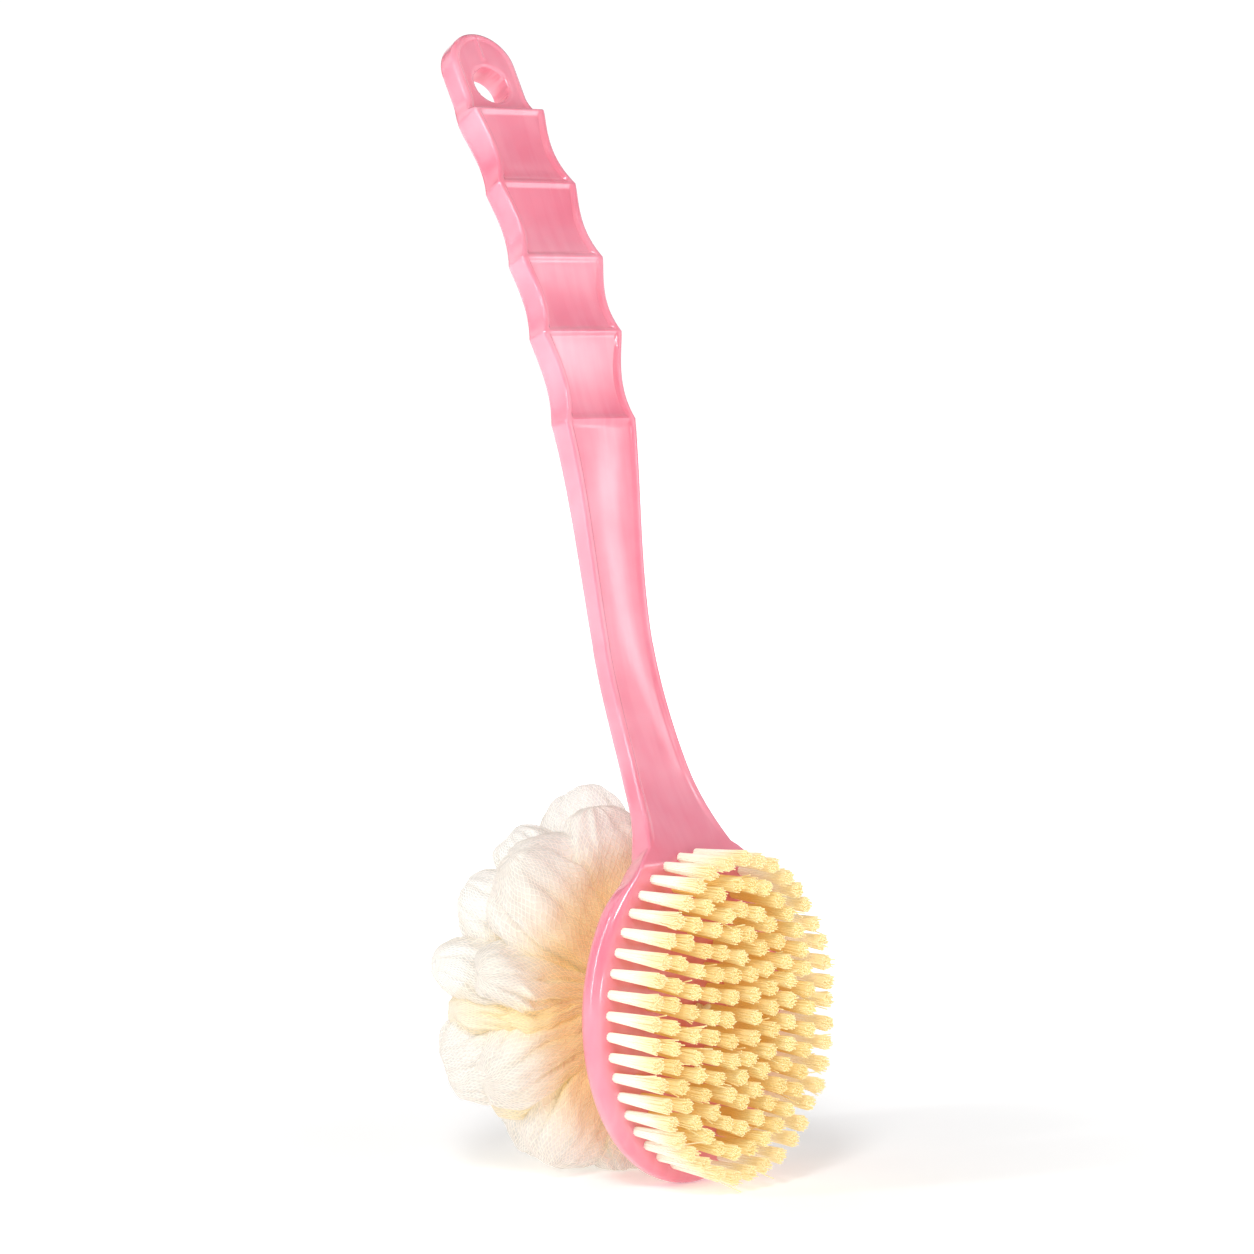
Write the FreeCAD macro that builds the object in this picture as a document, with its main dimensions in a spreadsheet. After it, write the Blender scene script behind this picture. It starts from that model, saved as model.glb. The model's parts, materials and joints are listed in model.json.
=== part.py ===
import FreeCAD, Part
import Sketcher
import math
import os

# A back scrubber: one moulded handle with a bristle face, and a netting pouf tied behind it.
# Millimetres, +Z up. The bristles face -Y, the handle leans back towards +Y, and X is the width.
# The brush stands on the lower rim of its head and on the pouf, so z = 0 is the surface under both.
# Everything is laid out from the middle of the head's front face, then moved back by one shift
# in Y, which puts the origin under the middle of the whole brush.

SIZES = {
    # head
    "head_width": 81.0,
    "head_height": 107.5,
    "plate_thick": 8.6,
    "rim_round": 3.8,
    # neck and grip: each rise is above the place before it, and each setback is of the front face
    # behind the head's front face
    "root_drop": 4.0,
    "root_setback": 2.5,
    "root_width": 34.5,
    "bend_rise": 22.5,
    "bend_setback": 16.8,
    "waist_rise": 38.0,
    "waist_setback": 32.2,
    "waist_width": 19.8,
    "waist_thick": 7.6,
    "grip_rise": 69.4,
    "grip_setback": 45.6,
    "palm_setback": 64.3,
    "top_setback": 90.9,
    "thumb_pitch": 27.2,
    "finger_pitch": 23.3,
    "ridge_width": 28.2,
    "palm_width": 32.8,
    "grip_thick": 9.2,
    "scallop_depth": 2.7,
    "finger_dish": 1.3,
    "edge_round": 2.4,
    # hanging eye
    "eye_width": 24.6,
    "eye_rise": 16.2,
    "eye_setback": 3.6,
    "eye_round": 3.0,
    "hang_rise": 10.2,
    "hang_bore": 13.2,
    "hang_bevel": 1.1,
    # bristles
    "ring_margin": 5.6,
    "inner_ring_width": 9.8,
    "tuft_pitch": 6.4,
    "tuft_reach": 22.0,
    "root_bore": 3.0,
    "root_depth": 7.2,
    "root_gap": 0.25,
    "tuft_tip": 5.2,
    "anchor_thick": 0.4,
    "anchor_depth": 1.2,
    # pouf
    "pouf_width": 119.0,
    "front_proud": 2.75,
    "front_depth": 21.0,
    "middle_depth": 25.0,
    "rear_depth": 25.0,
    "end_inset": 3.0,
    "pouf_hollow": 26.0,
    "core_width": 6.8,
    "cord_width": 2.2,
    "tie_width": 3.0,
    "tie_setback": 28.0,
    "knot_width": 6.0,
    # clearances
    "running_gap": 0.3,
    "socket_gap": 0.1,
}
RINGS = 5
RIDGES = 5
# shapes that aren't sizes: how fast the neck's flare dies away, and how late its swell comes
FLARE_LENGTH = 14.0
SWELL_POWER = 1.8
LOWER_STEPS = 5
UPPER_STEPS = 4
STEP_POWER = 1.4
# how round the netting's rims are, as shares of each length's depth
SOFT_RIM = 0.3
TIGHT_RIM = 0.15
DOME_RIM = 0.8
KNOT_SQUASH = 0.4

doc = FreeCAD.newDocument("back_scrubber")
sheet = doc.addObject("Spreadsheet::Sheet", "sizes")
for row, (alias, value) in enumerate(SIZES.items(), start=1):
    sheet.set(f"A{row}", alias)
    sheet.set(f"B{row}", str(value))
    sheet.setAlias(f"B{row}", alias)
doc.recompute()

sub_parts = []


def size(alias):
    """The sheet's value of one named size."""
    return float(sheet.get(alias))


def bind(obj, **expressions):
    """Tie properties of an object to expressions on the sheet, where <name> is a cell's alias."""
    for prop, expression in expressions.items():
        obj.setExpression(prop, expression.replace("<", "sizes.").replace(">", ""))


def keep(obj, label):
    """Mark an object as a finished sub-part."""
    obj.Label = label
    sub_parts.append(obj)
    return obj


def combine(kind, name, base, tool):
    """A boolean of two objects, as a document object."""
    obj = doc.addObject(kind, name)
    if kind == "Part::Cut":
        obj.Base = base
        obj.Tool = tool
    else:
        obj.Shapes = [base, *tool]
    return obj


def fixed_shape(name, shape):
    """A shape made by Part's own functions, as a document object."""
    obj = doc.addObject("Part::Feature", name)
    obj.Shape = shape
    return obj


# --- the handle -------------------------------------------------------------------------------

def head_blank():
    """The oval plate with both its rims rounded."""
    oval = doc.addObject("Part::Ellipse", "head_outline")
    bind(oval, MajorRadius="<head_height> / 2", MinorRadius="<head_width> / 2")
    half_height = size("head_height") / 2
    # the long axis turned upright, and the outline's normal turned to +Y
    upright = FreeCAD.Rotation(
        FreeCAD.Vector(0, 0, 1), FreeCAD.Vector(-1, 0, 0), FreeCAD.Vector(0, 1, 0), "XZY")
    oval.Placement = FreeCAD.Placement(FreeCAD.Vector(0, 0, half_height), upright)
    bind(oval, **{"Placement.Base.z": "<head_height> / 2"})
    plate = doc.addObject("Part::Extrusion", "head_plate")
    plate.Base = oval
    plate.DirMode = "Custom"
    plate.Dir = FreeCAD.Vector(0, 1, 0)
    plate.Solid = True
    bind(plate, LengthFwd="<plate_thick>")
    doc.recompute()
    rounded = doc.addObject("Part::Fillet", "head_rounded")
    rounded.Base = plate
    rim = size("rim_round")
    rims = [i for i, edge in enumerate(plate.Shape.Edges, start=1) if edge.Length > size("head_height")]
    rounded.Edges = [(i, rim, rim) for i in rims]
    return rounded


def root_height():
    """Where the neck leaves the head, a little under the head's top."""
    return size("head_height") - size("root_drop")


def waist_height():
    return root_height() + size("bend_rise") + size("waist_rise")


def ridge_height(index):
    """The ridges' heights. The lowest rest is the longest, for the thumb."""
    lowest = waist_height() + size("grip_rise")
    if index == 0:
        return lowest
    return lowest + size("thumb_pitch") + (index - 1) * size("finger_pitch")


def line_points():
    """Height and setback of the front face, from the neck's root to the last ridge."""
    middle = (RIDGES - 1) // 2
    return [
        (root_height(), size("root_setback")),
        (root_height() + size("bend_rise"), size("bend_setback")),
        (waist_height(), size("waist_setback")),
        (ridge_height(0), size("grip_setback")),
        (ridge_height(middle), size("palm_setback")),
        (ridge_height(RIDGES - 1), size("top_setback")),
    ]


def front_line(height):
    """Setback and slope of the handle's front face at a height, on a smooth curve through its points."""
    points = line_points()
    slopes = []
    for i in range(len(points)):
        low = points[max(i - 1, 0)]
        high = points[min(i + 1, len(points) - 1)]
        slopes.append((high[1] - low[1]) / (high[0] - low[0]))
    last = len(points) - 2
    span = max(i for i in range(last + 1) if i == 0 or height >= points[i][0])
    (z0, y0), (z1, y1) = points[span], points[span + 1]
    step = z1 - z0
    share = (height - z0) / step
    if share > 1.0:
        return y1 + (height - z1) * slopes[span + 1], slopes[span + 1]
    rise0 = slopes[span] * step
    rise1 = slopes[span + 1] * step
    bend = 2 * (y0 - y1) + rise0 + rise1
    swing = 3 * (y1 - y0) - 2 * rise0 - rise1
    setback = y0 + rise0 * share + swing * share**2 + bend * share**3
    slope = (rise0 + 2 * swing * share + 3 * bend * share**2) / step
    return setback, slope


def section(front, lean, width, depth, corner):
    """A rounded rectangle across the handle: its front edge is at a point (setback, height) of the
    front line, and its depth runs square to a line that leans back by an angle in radians."""
    half = width / 2
    r = min(corner, 0.45 * depth, 0.45 * width)
    mid = r * (1 - math.sqrt(0.5))

    def at(x, inward):
        setback = front[0] + inward * math.cos(lean)
        return FreeCAD.Vector(x, setback, front[1] - inward * math.sin(lean))

    edges = [
        Part.makeLine(at(-half + r, 0), at(half - r, 0)),
        Part.Arc(at(half - r, 0), at(half - mid, mid), at(half, r)).toShape(),
        Part.makeLine(at(half, r), at(half, depth - r)),
        Part.Arc(at(half, depth - r), at(half - mid, depth - mid), at(half - r, depth)).toShape(),
        Part.makeLine(at(half - r, depth), at(-half + r, depth)),
        Part.Arc(at(-half + r, depth), at(-half + mid, depth - mid), at(-half, depth - r)).toShape(),
        Part.makeLine(at(-half, depth - r), at(-half, r)),
        Part.Arc(at(-half, r), at(-half + mid, mid), at(-half + r, 0)).toShape(),
    ]
    return Part.Wire(edges)


def leaning_section(height, width, thick, dish=0.0):
    """A section square to the leaning handle, where the front line is at a height."""
    setback, slope = front_line(height)
    lean = math.atan(slope)
    front = (setback + dish * math.cos(lean), height - dish * math.sin(lean))
    return section(front, lean, width, thick - dish, size("edge_round"))


def neck_shape():
    """The neck: flared at the head, narrow at its waist, and swelling to the first ridge."""
    root, waist, grip = root_height(), waist_height(), ridge_height(0)
    inset = size("rim_round") / 2
    sunk = (inset, root - size("plate_thick"))
    wires = [section(sunk, 0.0, size("root_width"), size("plate_thick") - 2 * inset, size("edge_round"))]
    for i in range(LOWER_STEPS + 1):
        height = root + (waist - root) * (i / LOWER_STEPS) ** STEP_POWER
        flare = (size("root_width") - size("waist_width")) * math.exp((root - height) / FLARE_LENGTH)
        wires.append(leaning_section(height, size("waist_width") + flare, size("waist_thick")))
    for i in range(1, UPPER_STEPS + 1):
        share = i / UPPER_STEPS
        width = size("waist_width") + (ridge_width(0) - size("waist_width")) * share**SWELL_POWER
        thick = size("waist_thick") + (size("grip_thick") - size("waist_thick")) * share
        wires.append(leaning_section(waist + (grip - waist) * share, width, thick))
    return Part.makeLoft(wires, True, False)


def ridge_width(index):
    """The ridges are widest in the palm."""
    share = math.sin(math.pi * index / (RIDGES - 1))
    return size("ridge_width") + (size("palm_width") - size("ridge_width")) * share


def finger_rest(index):
    """One stretch of the grip from a ridge to the next, hollowed in front and at both sides."""
    low, high = ridge_height(index), ridge_height(index + 1)
    middle = (low + high) / 2
    waist = (ridge_width(index) + ridge_width(index + 1)) / 2 - 2 * size("scallop_depth")
    wires = [
        leaning_section(low, ridge_width(index), size("grip_thick")),
        leaning_section(middle, waist, size("grip_thick"), size("finger_dish")),
        leaning_section(high, ridge_width(index + 1), size("grip_thick")),
    ]
    return Part.makeLoft(wires, True, False)


def eye_frame(rise):
    """A placement on the eye's front face, at a height above the last ridge, with its Z axis outwards."""
    setback, slope = front_line(ridge_height(RIDGES - 1) + rise)
    lean = math.atan(slope)
    sunk = size("eye_setback")
    normal = FreeCAD.Rotation(FreeCAD.Vector(1, 0, 0), 90 - math.degrees(lean))
    height = ridge_height(RIDGES - 1) + rise - sunk * math.sin(lean)
    return FreeCAD.Placement(FreeCAD.Vector(0, setback + sunk * math.cos(lean), height), normal)


def eye_link():
    """The step back above the last ridge, and the short stretch from it into the eye."""
    top = ridge_height(RIDGES - 1)
    inset = size("running_gap")
    width = size("eye_width") - 2 * inset
    sunk = size("eye_setback") + inset
    thick = size("eye_setback") + size("grip_thick") - inset
    wires = [
        leaning_section(top, ridge_width(RIDGES - 1), size("grip_thick")),
        leaning_section(top + size("eye_setback") / 2, ridge_width(RIDGES - 1) - 2 * inset, thick, sunk),
        leaning_section(top + size("eye_rise") / 2, width, thick, sunk),
        leaning_section(top + size("eye_rise"), width, thick, sunk),
    ]
    return Part.makeLoft(wires, True, True)


def eye_disc():
    """The round end, with both its rims rounded."""
    disc = doc.addObject("Part::Cylinder", "eye_disc")
    bind(disc, Radius="<eye_width> / 2", Height="<grip_thick>")
    frame = eye_frame(size("eye_rise"))
    back = frame.multVec(FreeCAD.Vector(0, 0, -size("grip_thick")))
    disc.Placement = FreeCAD.Placement(back, frame.Rotation)
    doc.recompute()
    rounded = doc.addObject("Part::Fillet", "eye_rounded")
    rounded.Base = disc
    r = size("eye_round")
    rims = [i for i, edge in enumerate(disc.Shape.Edges, start=1) if len(edge.Vertexes) == 1]
    rounded.Edges = [(i, r, r) for i in rims]
    return rounded


def hanging_hole():
    """The cutter for the hanging hole: a bore with a bevel at each end."""
    thick, bore, bevel = size("grip_thick"), size("hang_bore") / 2, size("hang_bevel")
    tool = Part.makeCylinder(bore, 3 * thick, FreeCAD.Vector(0, 0, -2 * thick))
    wide = bore + 2 * bevel
    front = Part.makeCone(bore, wide, 2 * bevel, FreeCAD.Vector(0, 0, -bevel))
    rear = Part.makeCone(wide, bore, 2 * bevel, FreeCAD.Vector(0, 0, -thick - bevel))
    cutter = fixed_shape("hanging_hole", tool.fuse([front, rear]))
    cutter.Placement = eye_frame(size("hang_rise"))
    return cutter


def ring_places(index):
    """The tufts' places on one oval ring, evenly spaced along it, as (x, z) from the head's middle."""
    outer = size("head_width") / 2 - size("ring_margin")
    step = (outer - size("inner_ring_width") / 2) / (RINGS - 1)
    inward = size("ring_margin") + index * step
    tall = size("head_height") / 2 - inward
    wide = size("head_width") / 2 - inward
    centre = FreeCAD.Vector(0, 0, 0)
    oval = Part.Ellipse(FreeCAD.Vector(0, tall, 0), FreeCAD.Vector(wide, 0, 0), centre)
    edge = oval.toShape()
    count = int(round(edge.Length / size("tuft_pitch")))
    half_step = 0.5 * (index % 2)
    places = []
    for i in range(count):
        spot = edge.valueAt(edge.getParameterByLength((i + half_step) * edge.Length / count))
        places.append((spot.x, spot.y))
    return places


def at_each_place(shape, index):
    """Copies of a shape, made at the head's middle, at every place of one ring."""
    middle = size("head_height") / 2
    return [shape.translated(FreeCAD.Vector(x, 0, middle + z)) for x, z in ring_places(index)]


def sockets():
    """The cutter for the blind sockets of every ring."""
    bore = Part.makeCylinder(
        size("root_bore") / 2, size("root_depth") + 1, FreeCAD.Vector(0, -1, 0), FreeCAD.Vector(0, 1, 0))
    bores = []
    for index in range(RINGS):
        bores.extend(at_each_place(bore, index))
    return fixed_shape("sockets", Part.makeCompound(bores))


def tie_hole():
    """The cutter for the tie cord's hole through the middle of the head."""
    hole = doc.addObject("Part::Cylinder", "tie_hole")
    bind(hole, Radius="<tie_width> / 2 + <running_gap>", Height="3 * <plate_thick>")
    hole.Placement = FreeCAD.Placement(
        FreeCAD.Vector(0, -size("plate_thick"), size("head_height") / 2),
        FreeCAD.Rotation(FreeCAD.Vector(1, 0, 0), -90))
    return hole


def build_handle():
    """The whole moulding, with its sockets and holes."""
    rests = [fixed_shape(f"finger_rest_{i + 1}", finger_rest(i)) for i in range(RIDGES - 1)]
    others = [fixed_shape("neck", neck_shape()), fixed_shape("eye_link", eye_link()), eye_disc(), *rests]
    solid = combine("Part::MultiFuse", "handle_solid", head_blank(), others)
    doc.recompute()
    cut = combine("Part::Cut", "handle_with_eye", solid, hanging_hole())
    cut = combine("Part::Cut", "handle_with_tie_hole", cut, tie_hole())
    handle = combine("Part::Cut", "handle", cut, sockets())
    doc.recompute()
    return keep(handle, "handle")


# --- the bristles -----------------------------------------------------------------------------

def turned(points):
    """A solid turned about the Y axis from its (radius, y) outline."""
    corners = [FreeCAD.Vector(radius, y, 0) for radius, y in points]
    face = Part.Face(Part.makePolygon([*corners, corners[0]]))
    return face.revolve(FreeCAD.Vector(0, 0, 0), FreeCAD.Vector(0, 1, 0), 360)


def tuft_shape():
    """One tuft: a straight root in its socket, then a cone that opens towards its tip."""
    root_end = size("root_depth") - size("anchor_depth") - 2 * size("socket_gap")
    root = size("root_bore") / 2 - size("root_gap")
    tip, reach = size("tuft_tip") / 2, size("tuft_reach")
    return turned([(0, root_end), (root, root_end), (root, 0), (tip, -reach), (0, -reach)])


def anchor_shape():
    """One flat metal anchor at the bottom of a socket, in the fold of its tuft."""
    length = size("root_bore") - 2 * size("running_gap")
    thick, depth = size("anchor_thick"), size("anchor_depth")
    start = size("root_depth") - depth - size("socket_gap")
    return Part.makeBox(length, depth, thick, FreeCAD.Vector(-length / 2, start, -thick / 2))


def build_rings():
    """A node of tufts and a node of anchors for each oval ring, counted from the rim inwards."""
    for index in range(RINGS):
        for kind, shape in (("tuft", tuft_shape()), ("anchor", anchor_shape())):
            name = f"{kind}_ring_{index + 1}"
            keep(fixed_shape(name, Part.makeCompound(at_each_place(shape, index))), name)


# --- the pouf ---------------------------------------------------------------------------------

def origin_plane(body, role):
    return next(feature for feature in body.Origin.OriginFeatures if feature.Role == role)


def sketch_on(body, name, role):
    sketch = body.newObject("Sketcher::SketchObject", name)
    sketch.AttachmentSupport = [(origin_plane(body, role), "")]
    sketch.MapMode = "FlatFace"
    return sketch


def rectangle(sketch, left, right, bottom, top):
    """A rectangle whose sides stand at four expressions from the sketch's origin."""
    corners = [(1, 1), (2, 1), (2, 2), (1, 2)]
    spots = [FreeCAD.Vector(x, y, 0) for x, y in corners]
    first = sketch.GeometryCount
    for i in range(4):
        sketch.addGeometry(Part.LineSegment(spots[i], spots[(i + 1) % 4]), False)
        kind = "Horizontal" if i % 2 == 0 else "Vertical"
        sketch.addConstraint(Sketcher.Constraint(kind, first + i))
    for i in range(4):
        sketch.addConstraint(Sketcher.Constraint("Coincident", first + i, 2, first + (i + 1) % 4, 1))
    sides = [("DistanceX", 0, left, "left"), ("DistanceX", 2, right, "right"),
             ("DistanceY", 0, bottom, "bottom"), ("DistanceY", 2, top, "top")]
    for kind, line, expression, name in sides:
        number = sketch.addConstraint(Sketcher.Constraint(kind, -1, 1, first + line, 1, 1.0))
        sketch.renameConstraint(number, name)
        bind(sketch, **{f"Constraints.{name}": expression})


def floor_block():
    """The space under the surface that the brush stands on."""
    block = doc.addObject("Part::Box", "floor_block")
    bind(block, Length="4 * <pouf_width>", Width="4 * <pouf_width>", Height="2 * <pouf_width>")
    reach = 2 * size("pouf_width")
    block.Placement.Base = FreeCAD.Vector(-reach, -reach, -reach)
    return block


def round_rim(body, name, base, rear, radius):
    """Round one outer rim of a netting ring, in front or at the rear."""
    rims = []
    for i, edge in enumerate(base.Shape.Edges, start=1):
        if len(edge.Vertexes) == 1 and edge.Length > 4 * size("pouf_hollow"):
            rims.append((edge.CenterOfMass.y, f"Edge{i}"))
    rim = max(rims) if rear else min(rims)
    rounded = body.newObject("PartDesign::Fillet", name)
    rounded.Base = (base, [rim[1]])
    bind(rounded, Radius=radius)
    doc.recompute()
    assert 0 < rounded.Shape.Volume < base.Shape.Volume, f"{name} took nothing off"
    return rounded


def netting_layer(name, sides, front_round, rear_round, floor):
    """One length of netting round the tie, as a plain rounded ring that is flat where it rests."""
    body = doc.addObject("PartDesign::Body", f"{name}_body")
    outline = sketch_on(body, f"{name}_outline", "XY_Plane")
    rectangle(outline, *sides)
    ring = body.newObject("PartDesign::Revolution", f"{name}_ring")
    ring.Profile = outline
    ring.ReferenceAxis = (outline, ["V_Axis"])
    ring.Angle = 360
    doc.recompute()
    softer = round_rim(body, f"{name}_front_rim", ring, False, front_round)
    body.Tip = round_rim(body, f"{name}_rear_rim", softer, True, rear_round)
    body.Placement.Base = FreeCAD.Vector(0, 0, size("head_height") / 2)
    return keep(combine("Part::Cut", name, body, floor), name)


def build_netting():
    """Three lengths of netting, one behind the other on the same tie."""
    floor = floor_block()
    gap = "<running_gap>"
    hollow = "<pouf_hollow> / 2"
    full = "<pouf_width> / 2"
    under_neck = "<head_height> / 2 + <front_proud>"
    small = f"{full} - <end_inset>"
    start = f"<plate_thick> + {gap}"
    seam_one = f"{start} + <front_depth>"
    seam_two = f"{seam_one} + <middle_depth>"
    netting_layer("netting_front", (hollow, under_neck, start, seam_one),
                  f"<front_depth> * {DOME_RIM}", f"<front_depth> * {TIGHT_RIM}", floor)
    netting_layer("netting_middle", (hollow, full, f"{seam_one} + {gap}", seam_two),
                  f"<middle_depth> * {SOFT_RIM}", f"<middle_depth> * {SOFT_RIM}", floor)
    netting_layer("netting_rear", ("0", small, f"{seam_two} + {gap}", f"{seam_two} + <rear_depth>"),
                  f"<rear_depth> * {TIGHT_RIM}", f"<rear_depth> * {DOME_RIM}", floor)


def build_core():
    """The gathered waist of the netting: an upright bundle inside the pouf's hollow."""
    core = doc.addObject("Part::Cylinder", "netting_core")
    reach = "sqrt((<pouf_hollow> / 2 - <running_gap>) ^ 2 - (<core_width> / 2) ^ 2)"
    bind(core, Radius="<core_width> / 2", Height=f"2 * {reach}")
    doc.recompute()
    low = size("head_height") / 2 - core.Height.Value / 2
    core.Placement = FreeCAD.Placement(FreeCAD.Vector(0, size("tie_setback"), low), FreeCAD.Rotation())
    return keep(core, "netting_core")


def build_tie():
    """The doubled cord through the head, its loop round the core, and its stop knot in front."""
    middle = size("head_height") / 2
    gap = size("running_gap")
    loop = doc.addObject("Part::Torus", "tie_loop")
    bind(loop, Radius1="<core_width> / 2 + <running_gap> + <cord_width> / 2", Radius2="<cord_width> / 2")
    loop.Placement.Base = FreeCAD.Vector(0, size("tie_setback"), middle)
    leg = doc.addObject("Part::Cylinder", "tie_leg")
    reach = "<tie_setback> - <core_width> / 2 - <running_gap> - <cord_width> / 2 + <running_gap>"
    bind(leg, Radius="<tie_width> / 2", Height=reach)
    along = FreeCAD.Rotation(FreeCAD.Vector(1, 0, 0), -90)
    leg.Placement = FreeCAD.Placement(FreeCAD.Vector(0, -gap, middle), along)
    keep(combine("Part::MultiFuse", "tie_cord", loop, [leg]), "tie_cord")
    knot = doc.addObject("Part::Ellipsoid", "tie_knot")
    half = "<knot_width> / 2"
    bind(knot, Radius1=f"<knot_width> * {KNOT_SQUASH}", Radius2=half, Radius3=half)
    front = -gap - size("knot_width") * KNOT_SQUASH
    knot.Placement = FreeCAD.Placement(FreeCAD.Vector(0, front, middle), along)
    keep(knot, "tie_knot")


# --- the whole brush --------------------------------------------------------------------------

def settle():
    """Move every sub-part by one shift in Y, so that the origin is under the middle of the brush."""
    boxes = [obj.Shape.optimalBoundingBox() for obj in sub_parts]
    shift = -(min(box.YMin for box in boxes) + max(box.YMax for box in boxes)) / 2
    for obj in sub_parts:
        place = obj.Placement
        place.Base.y += shift
        obj.Placement = place
    doc.recompute()
    print(f"all sub-parts moved {shift:.3f} in Y")


def check_and_write():
    """Refuse a failed object or an unsound shape, then write one STEP file for each sub-part."""
    for obj in doc.Objects:
        failed = [state for state in obj.State if state in ("Invalid", "Error")]
        assert not failed, f"{obj.Name} is {failed}"
    for obj in sub_parts:
        assert not obj.Shape.isNull(), f"{obj.Label} has no shape"
        assert obj.Shape.isValid(), f"{obj.Label} is not valid"
    os.makedirs("parts", exist_ok=True)
    for obj in sub_parts:
        obj.Shape.exportStep(f"parts/{obj.Label}.step")
        print(f"{obj.Label}: {len(obj.Shape.Solids)} solids, {obj.Shape.Volume / 1000:.2f} cm3")


build_handle()
build_rings()
build_netting()
build_core()
build_tie()
doc.recompute()
settle()
check_and_write()
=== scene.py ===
import bmesh
import bpy
import json
import math
import numpy as np
from collections import namedtuple
from mathutils import Matrix, Vector


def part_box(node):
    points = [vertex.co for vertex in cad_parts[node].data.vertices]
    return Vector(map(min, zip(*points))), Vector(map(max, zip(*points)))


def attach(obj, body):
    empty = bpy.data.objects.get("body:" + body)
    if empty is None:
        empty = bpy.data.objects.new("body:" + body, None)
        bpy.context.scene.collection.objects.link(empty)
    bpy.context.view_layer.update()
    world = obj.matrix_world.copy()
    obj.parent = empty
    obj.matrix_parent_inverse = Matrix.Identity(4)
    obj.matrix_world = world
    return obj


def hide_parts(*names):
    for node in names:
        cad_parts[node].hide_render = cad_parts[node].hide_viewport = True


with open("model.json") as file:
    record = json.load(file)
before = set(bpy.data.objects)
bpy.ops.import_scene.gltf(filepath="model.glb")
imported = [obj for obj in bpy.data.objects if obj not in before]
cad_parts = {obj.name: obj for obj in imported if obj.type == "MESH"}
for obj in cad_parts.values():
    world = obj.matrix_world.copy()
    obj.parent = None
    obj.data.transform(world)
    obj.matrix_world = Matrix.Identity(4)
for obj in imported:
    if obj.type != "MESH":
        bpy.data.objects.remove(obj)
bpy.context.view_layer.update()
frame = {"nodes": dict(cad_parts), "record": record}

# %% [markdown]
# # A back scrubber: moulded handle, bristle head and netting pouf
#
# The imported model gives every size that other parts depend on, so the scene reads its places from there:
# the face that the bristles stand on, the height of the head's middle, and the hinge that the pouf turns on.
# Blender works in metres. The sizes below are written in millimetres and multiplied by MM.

MM = 0.001
RINGS = 5
swivel = frame["record"]["behaviour"]["joints"][0]
head_low, head_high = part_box("handle")
FACE = head_low[1]
MIDDLE = swivel["pos_m"][2]
HEAD_WIDE = head_high[0]
HEAD_TALL = MIDDLE
HEAD_WIDE_MM, HEAD_TALL_MM = HEAD_WIDE / MM, HEAD_TALL / MM
print(f"bristle face at y = {FACE:.4f} m, head middle at z = {MIDDLE:.4f} m")
print(f"half head {HEAD_WIDE:.4f} by {HEAD_TALL:.4f} m")

# %% [markdown]
# ## The camera
#
# The brush is seen from its front left, from a little above the middle of the handle, through a long lens
# that keeps its sides nearly parallel. A nearer camera with a shorter lens could frame it too, but it would
# make the head look too large for the handle.

# %% Camera
SENSOR = 36.0
AZIMUTH, ELEVATION = math.radians(-40.0), math.radians(4.0)
DISTANCE = 1.4
FOCUS = Vector((0.0, FACE + 0.0334, 0.1692))
LENS = 129.9

toward_camera = Vector((math.sin(AZIMUTH) * math.cos(ELEVATION),
                        -math.cos(AZIMUTH) * math.cos(ELEVATION), math.sin(ELEVATION)))
camera = bpy.data.objects.new("camera", bpy.data.cameras.new("camera"))
bpy.context.collection.objects.link(camera)
camera.data.sensor_width = SENSOR
camera.data.lens = LENS
camera.data.clip_start = 0.01
camera.location = FOCUS + toward_camera * DISTANCE
camera.rotation_euler = toward_camera.to_track_quat("Z", "Y").to_euler()
bpy.context.scene.camera = camera
bpy.context.scene.view_settings.view_transform = "Standard"
print("camera at", [round(v, 3) for v in camera.location])


# %% [markdown]
# ## The floor and the lights
#
# The brush stands on white, in a bright room. Four soft rectangles light it: a large window high on the
# left, a tall strip on the left behind the brush, a tall strip at the front right that the finger rests
# mirror, and a weak low one in front. Sun lamps would give hard shadows, and a picture of a studio would
# need a file. Each rectangle can be moved by itself until its bright line lies in the right place.

# %% Floor and lights
def lamp(name, place, target, wide, tall, power):
    """A soft rectangular light that faces a point."""
    data = bpy.data.lights.new(name, "AREA")
    data.shape = "RECTANGLE"
    data.size = wide
    data.size_y = tall
    data.energy = power
    lamp_object = bpy.data.objects.new(name, data)
    bpy.context.collection.objects.link(lamp_object)
    lamp_object.location = place
    lamp_object.rotation_euler = (Vector(place) - Vector(target)).to_track_quat("Z", "Y").to_euler()


FLOOR_SIZE = 12.0
bpy.ops.mesh.primitive_plane_add(size=FLOOR_SIZE, location=(0, 0, 0))
floor = bpy.context.object
floor.name = "floor"

# Each lamp's place, the point that it faces, its width and height in metres, and its watts.
LAMPS = {
    "window": ((-1.0, -0.9, 1.25), (0, 0, 0.18), 0.36, 0.55, 11.5),
    "side_strip": ((-1.1, 0.25, 0.45), (0, 0, 0.2), 0.08, 0.9, 4.0),
    "front_strip": ((1.0, -1.15, 0.62), (0, 0.02, 0.28), 0.12, 0.95, 1.5),
    "low_glare": ((-0.35, -1.3, 0.05), (0, 0, 0.25), 0.3, 0.08, 0.9),
}
for lamp_name, values in LAMPS.items():
    lamp(lamp_name, *values)
print(f"{len(LAMPS)} lamps")


# %% [markdown]
# ## Writing nodes as sums
#
# A material is a graph of nodes, and so is a shape made by Geometry Nodes. A long one is easier to read as
# arithmetic. `Shade` wraps one output of a node and gives it Python's operators, each of which adds a Math
# node. `Graph` owns a node tree and adds any other kind of node, and `Paint` is a graph that is a material.

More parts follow.
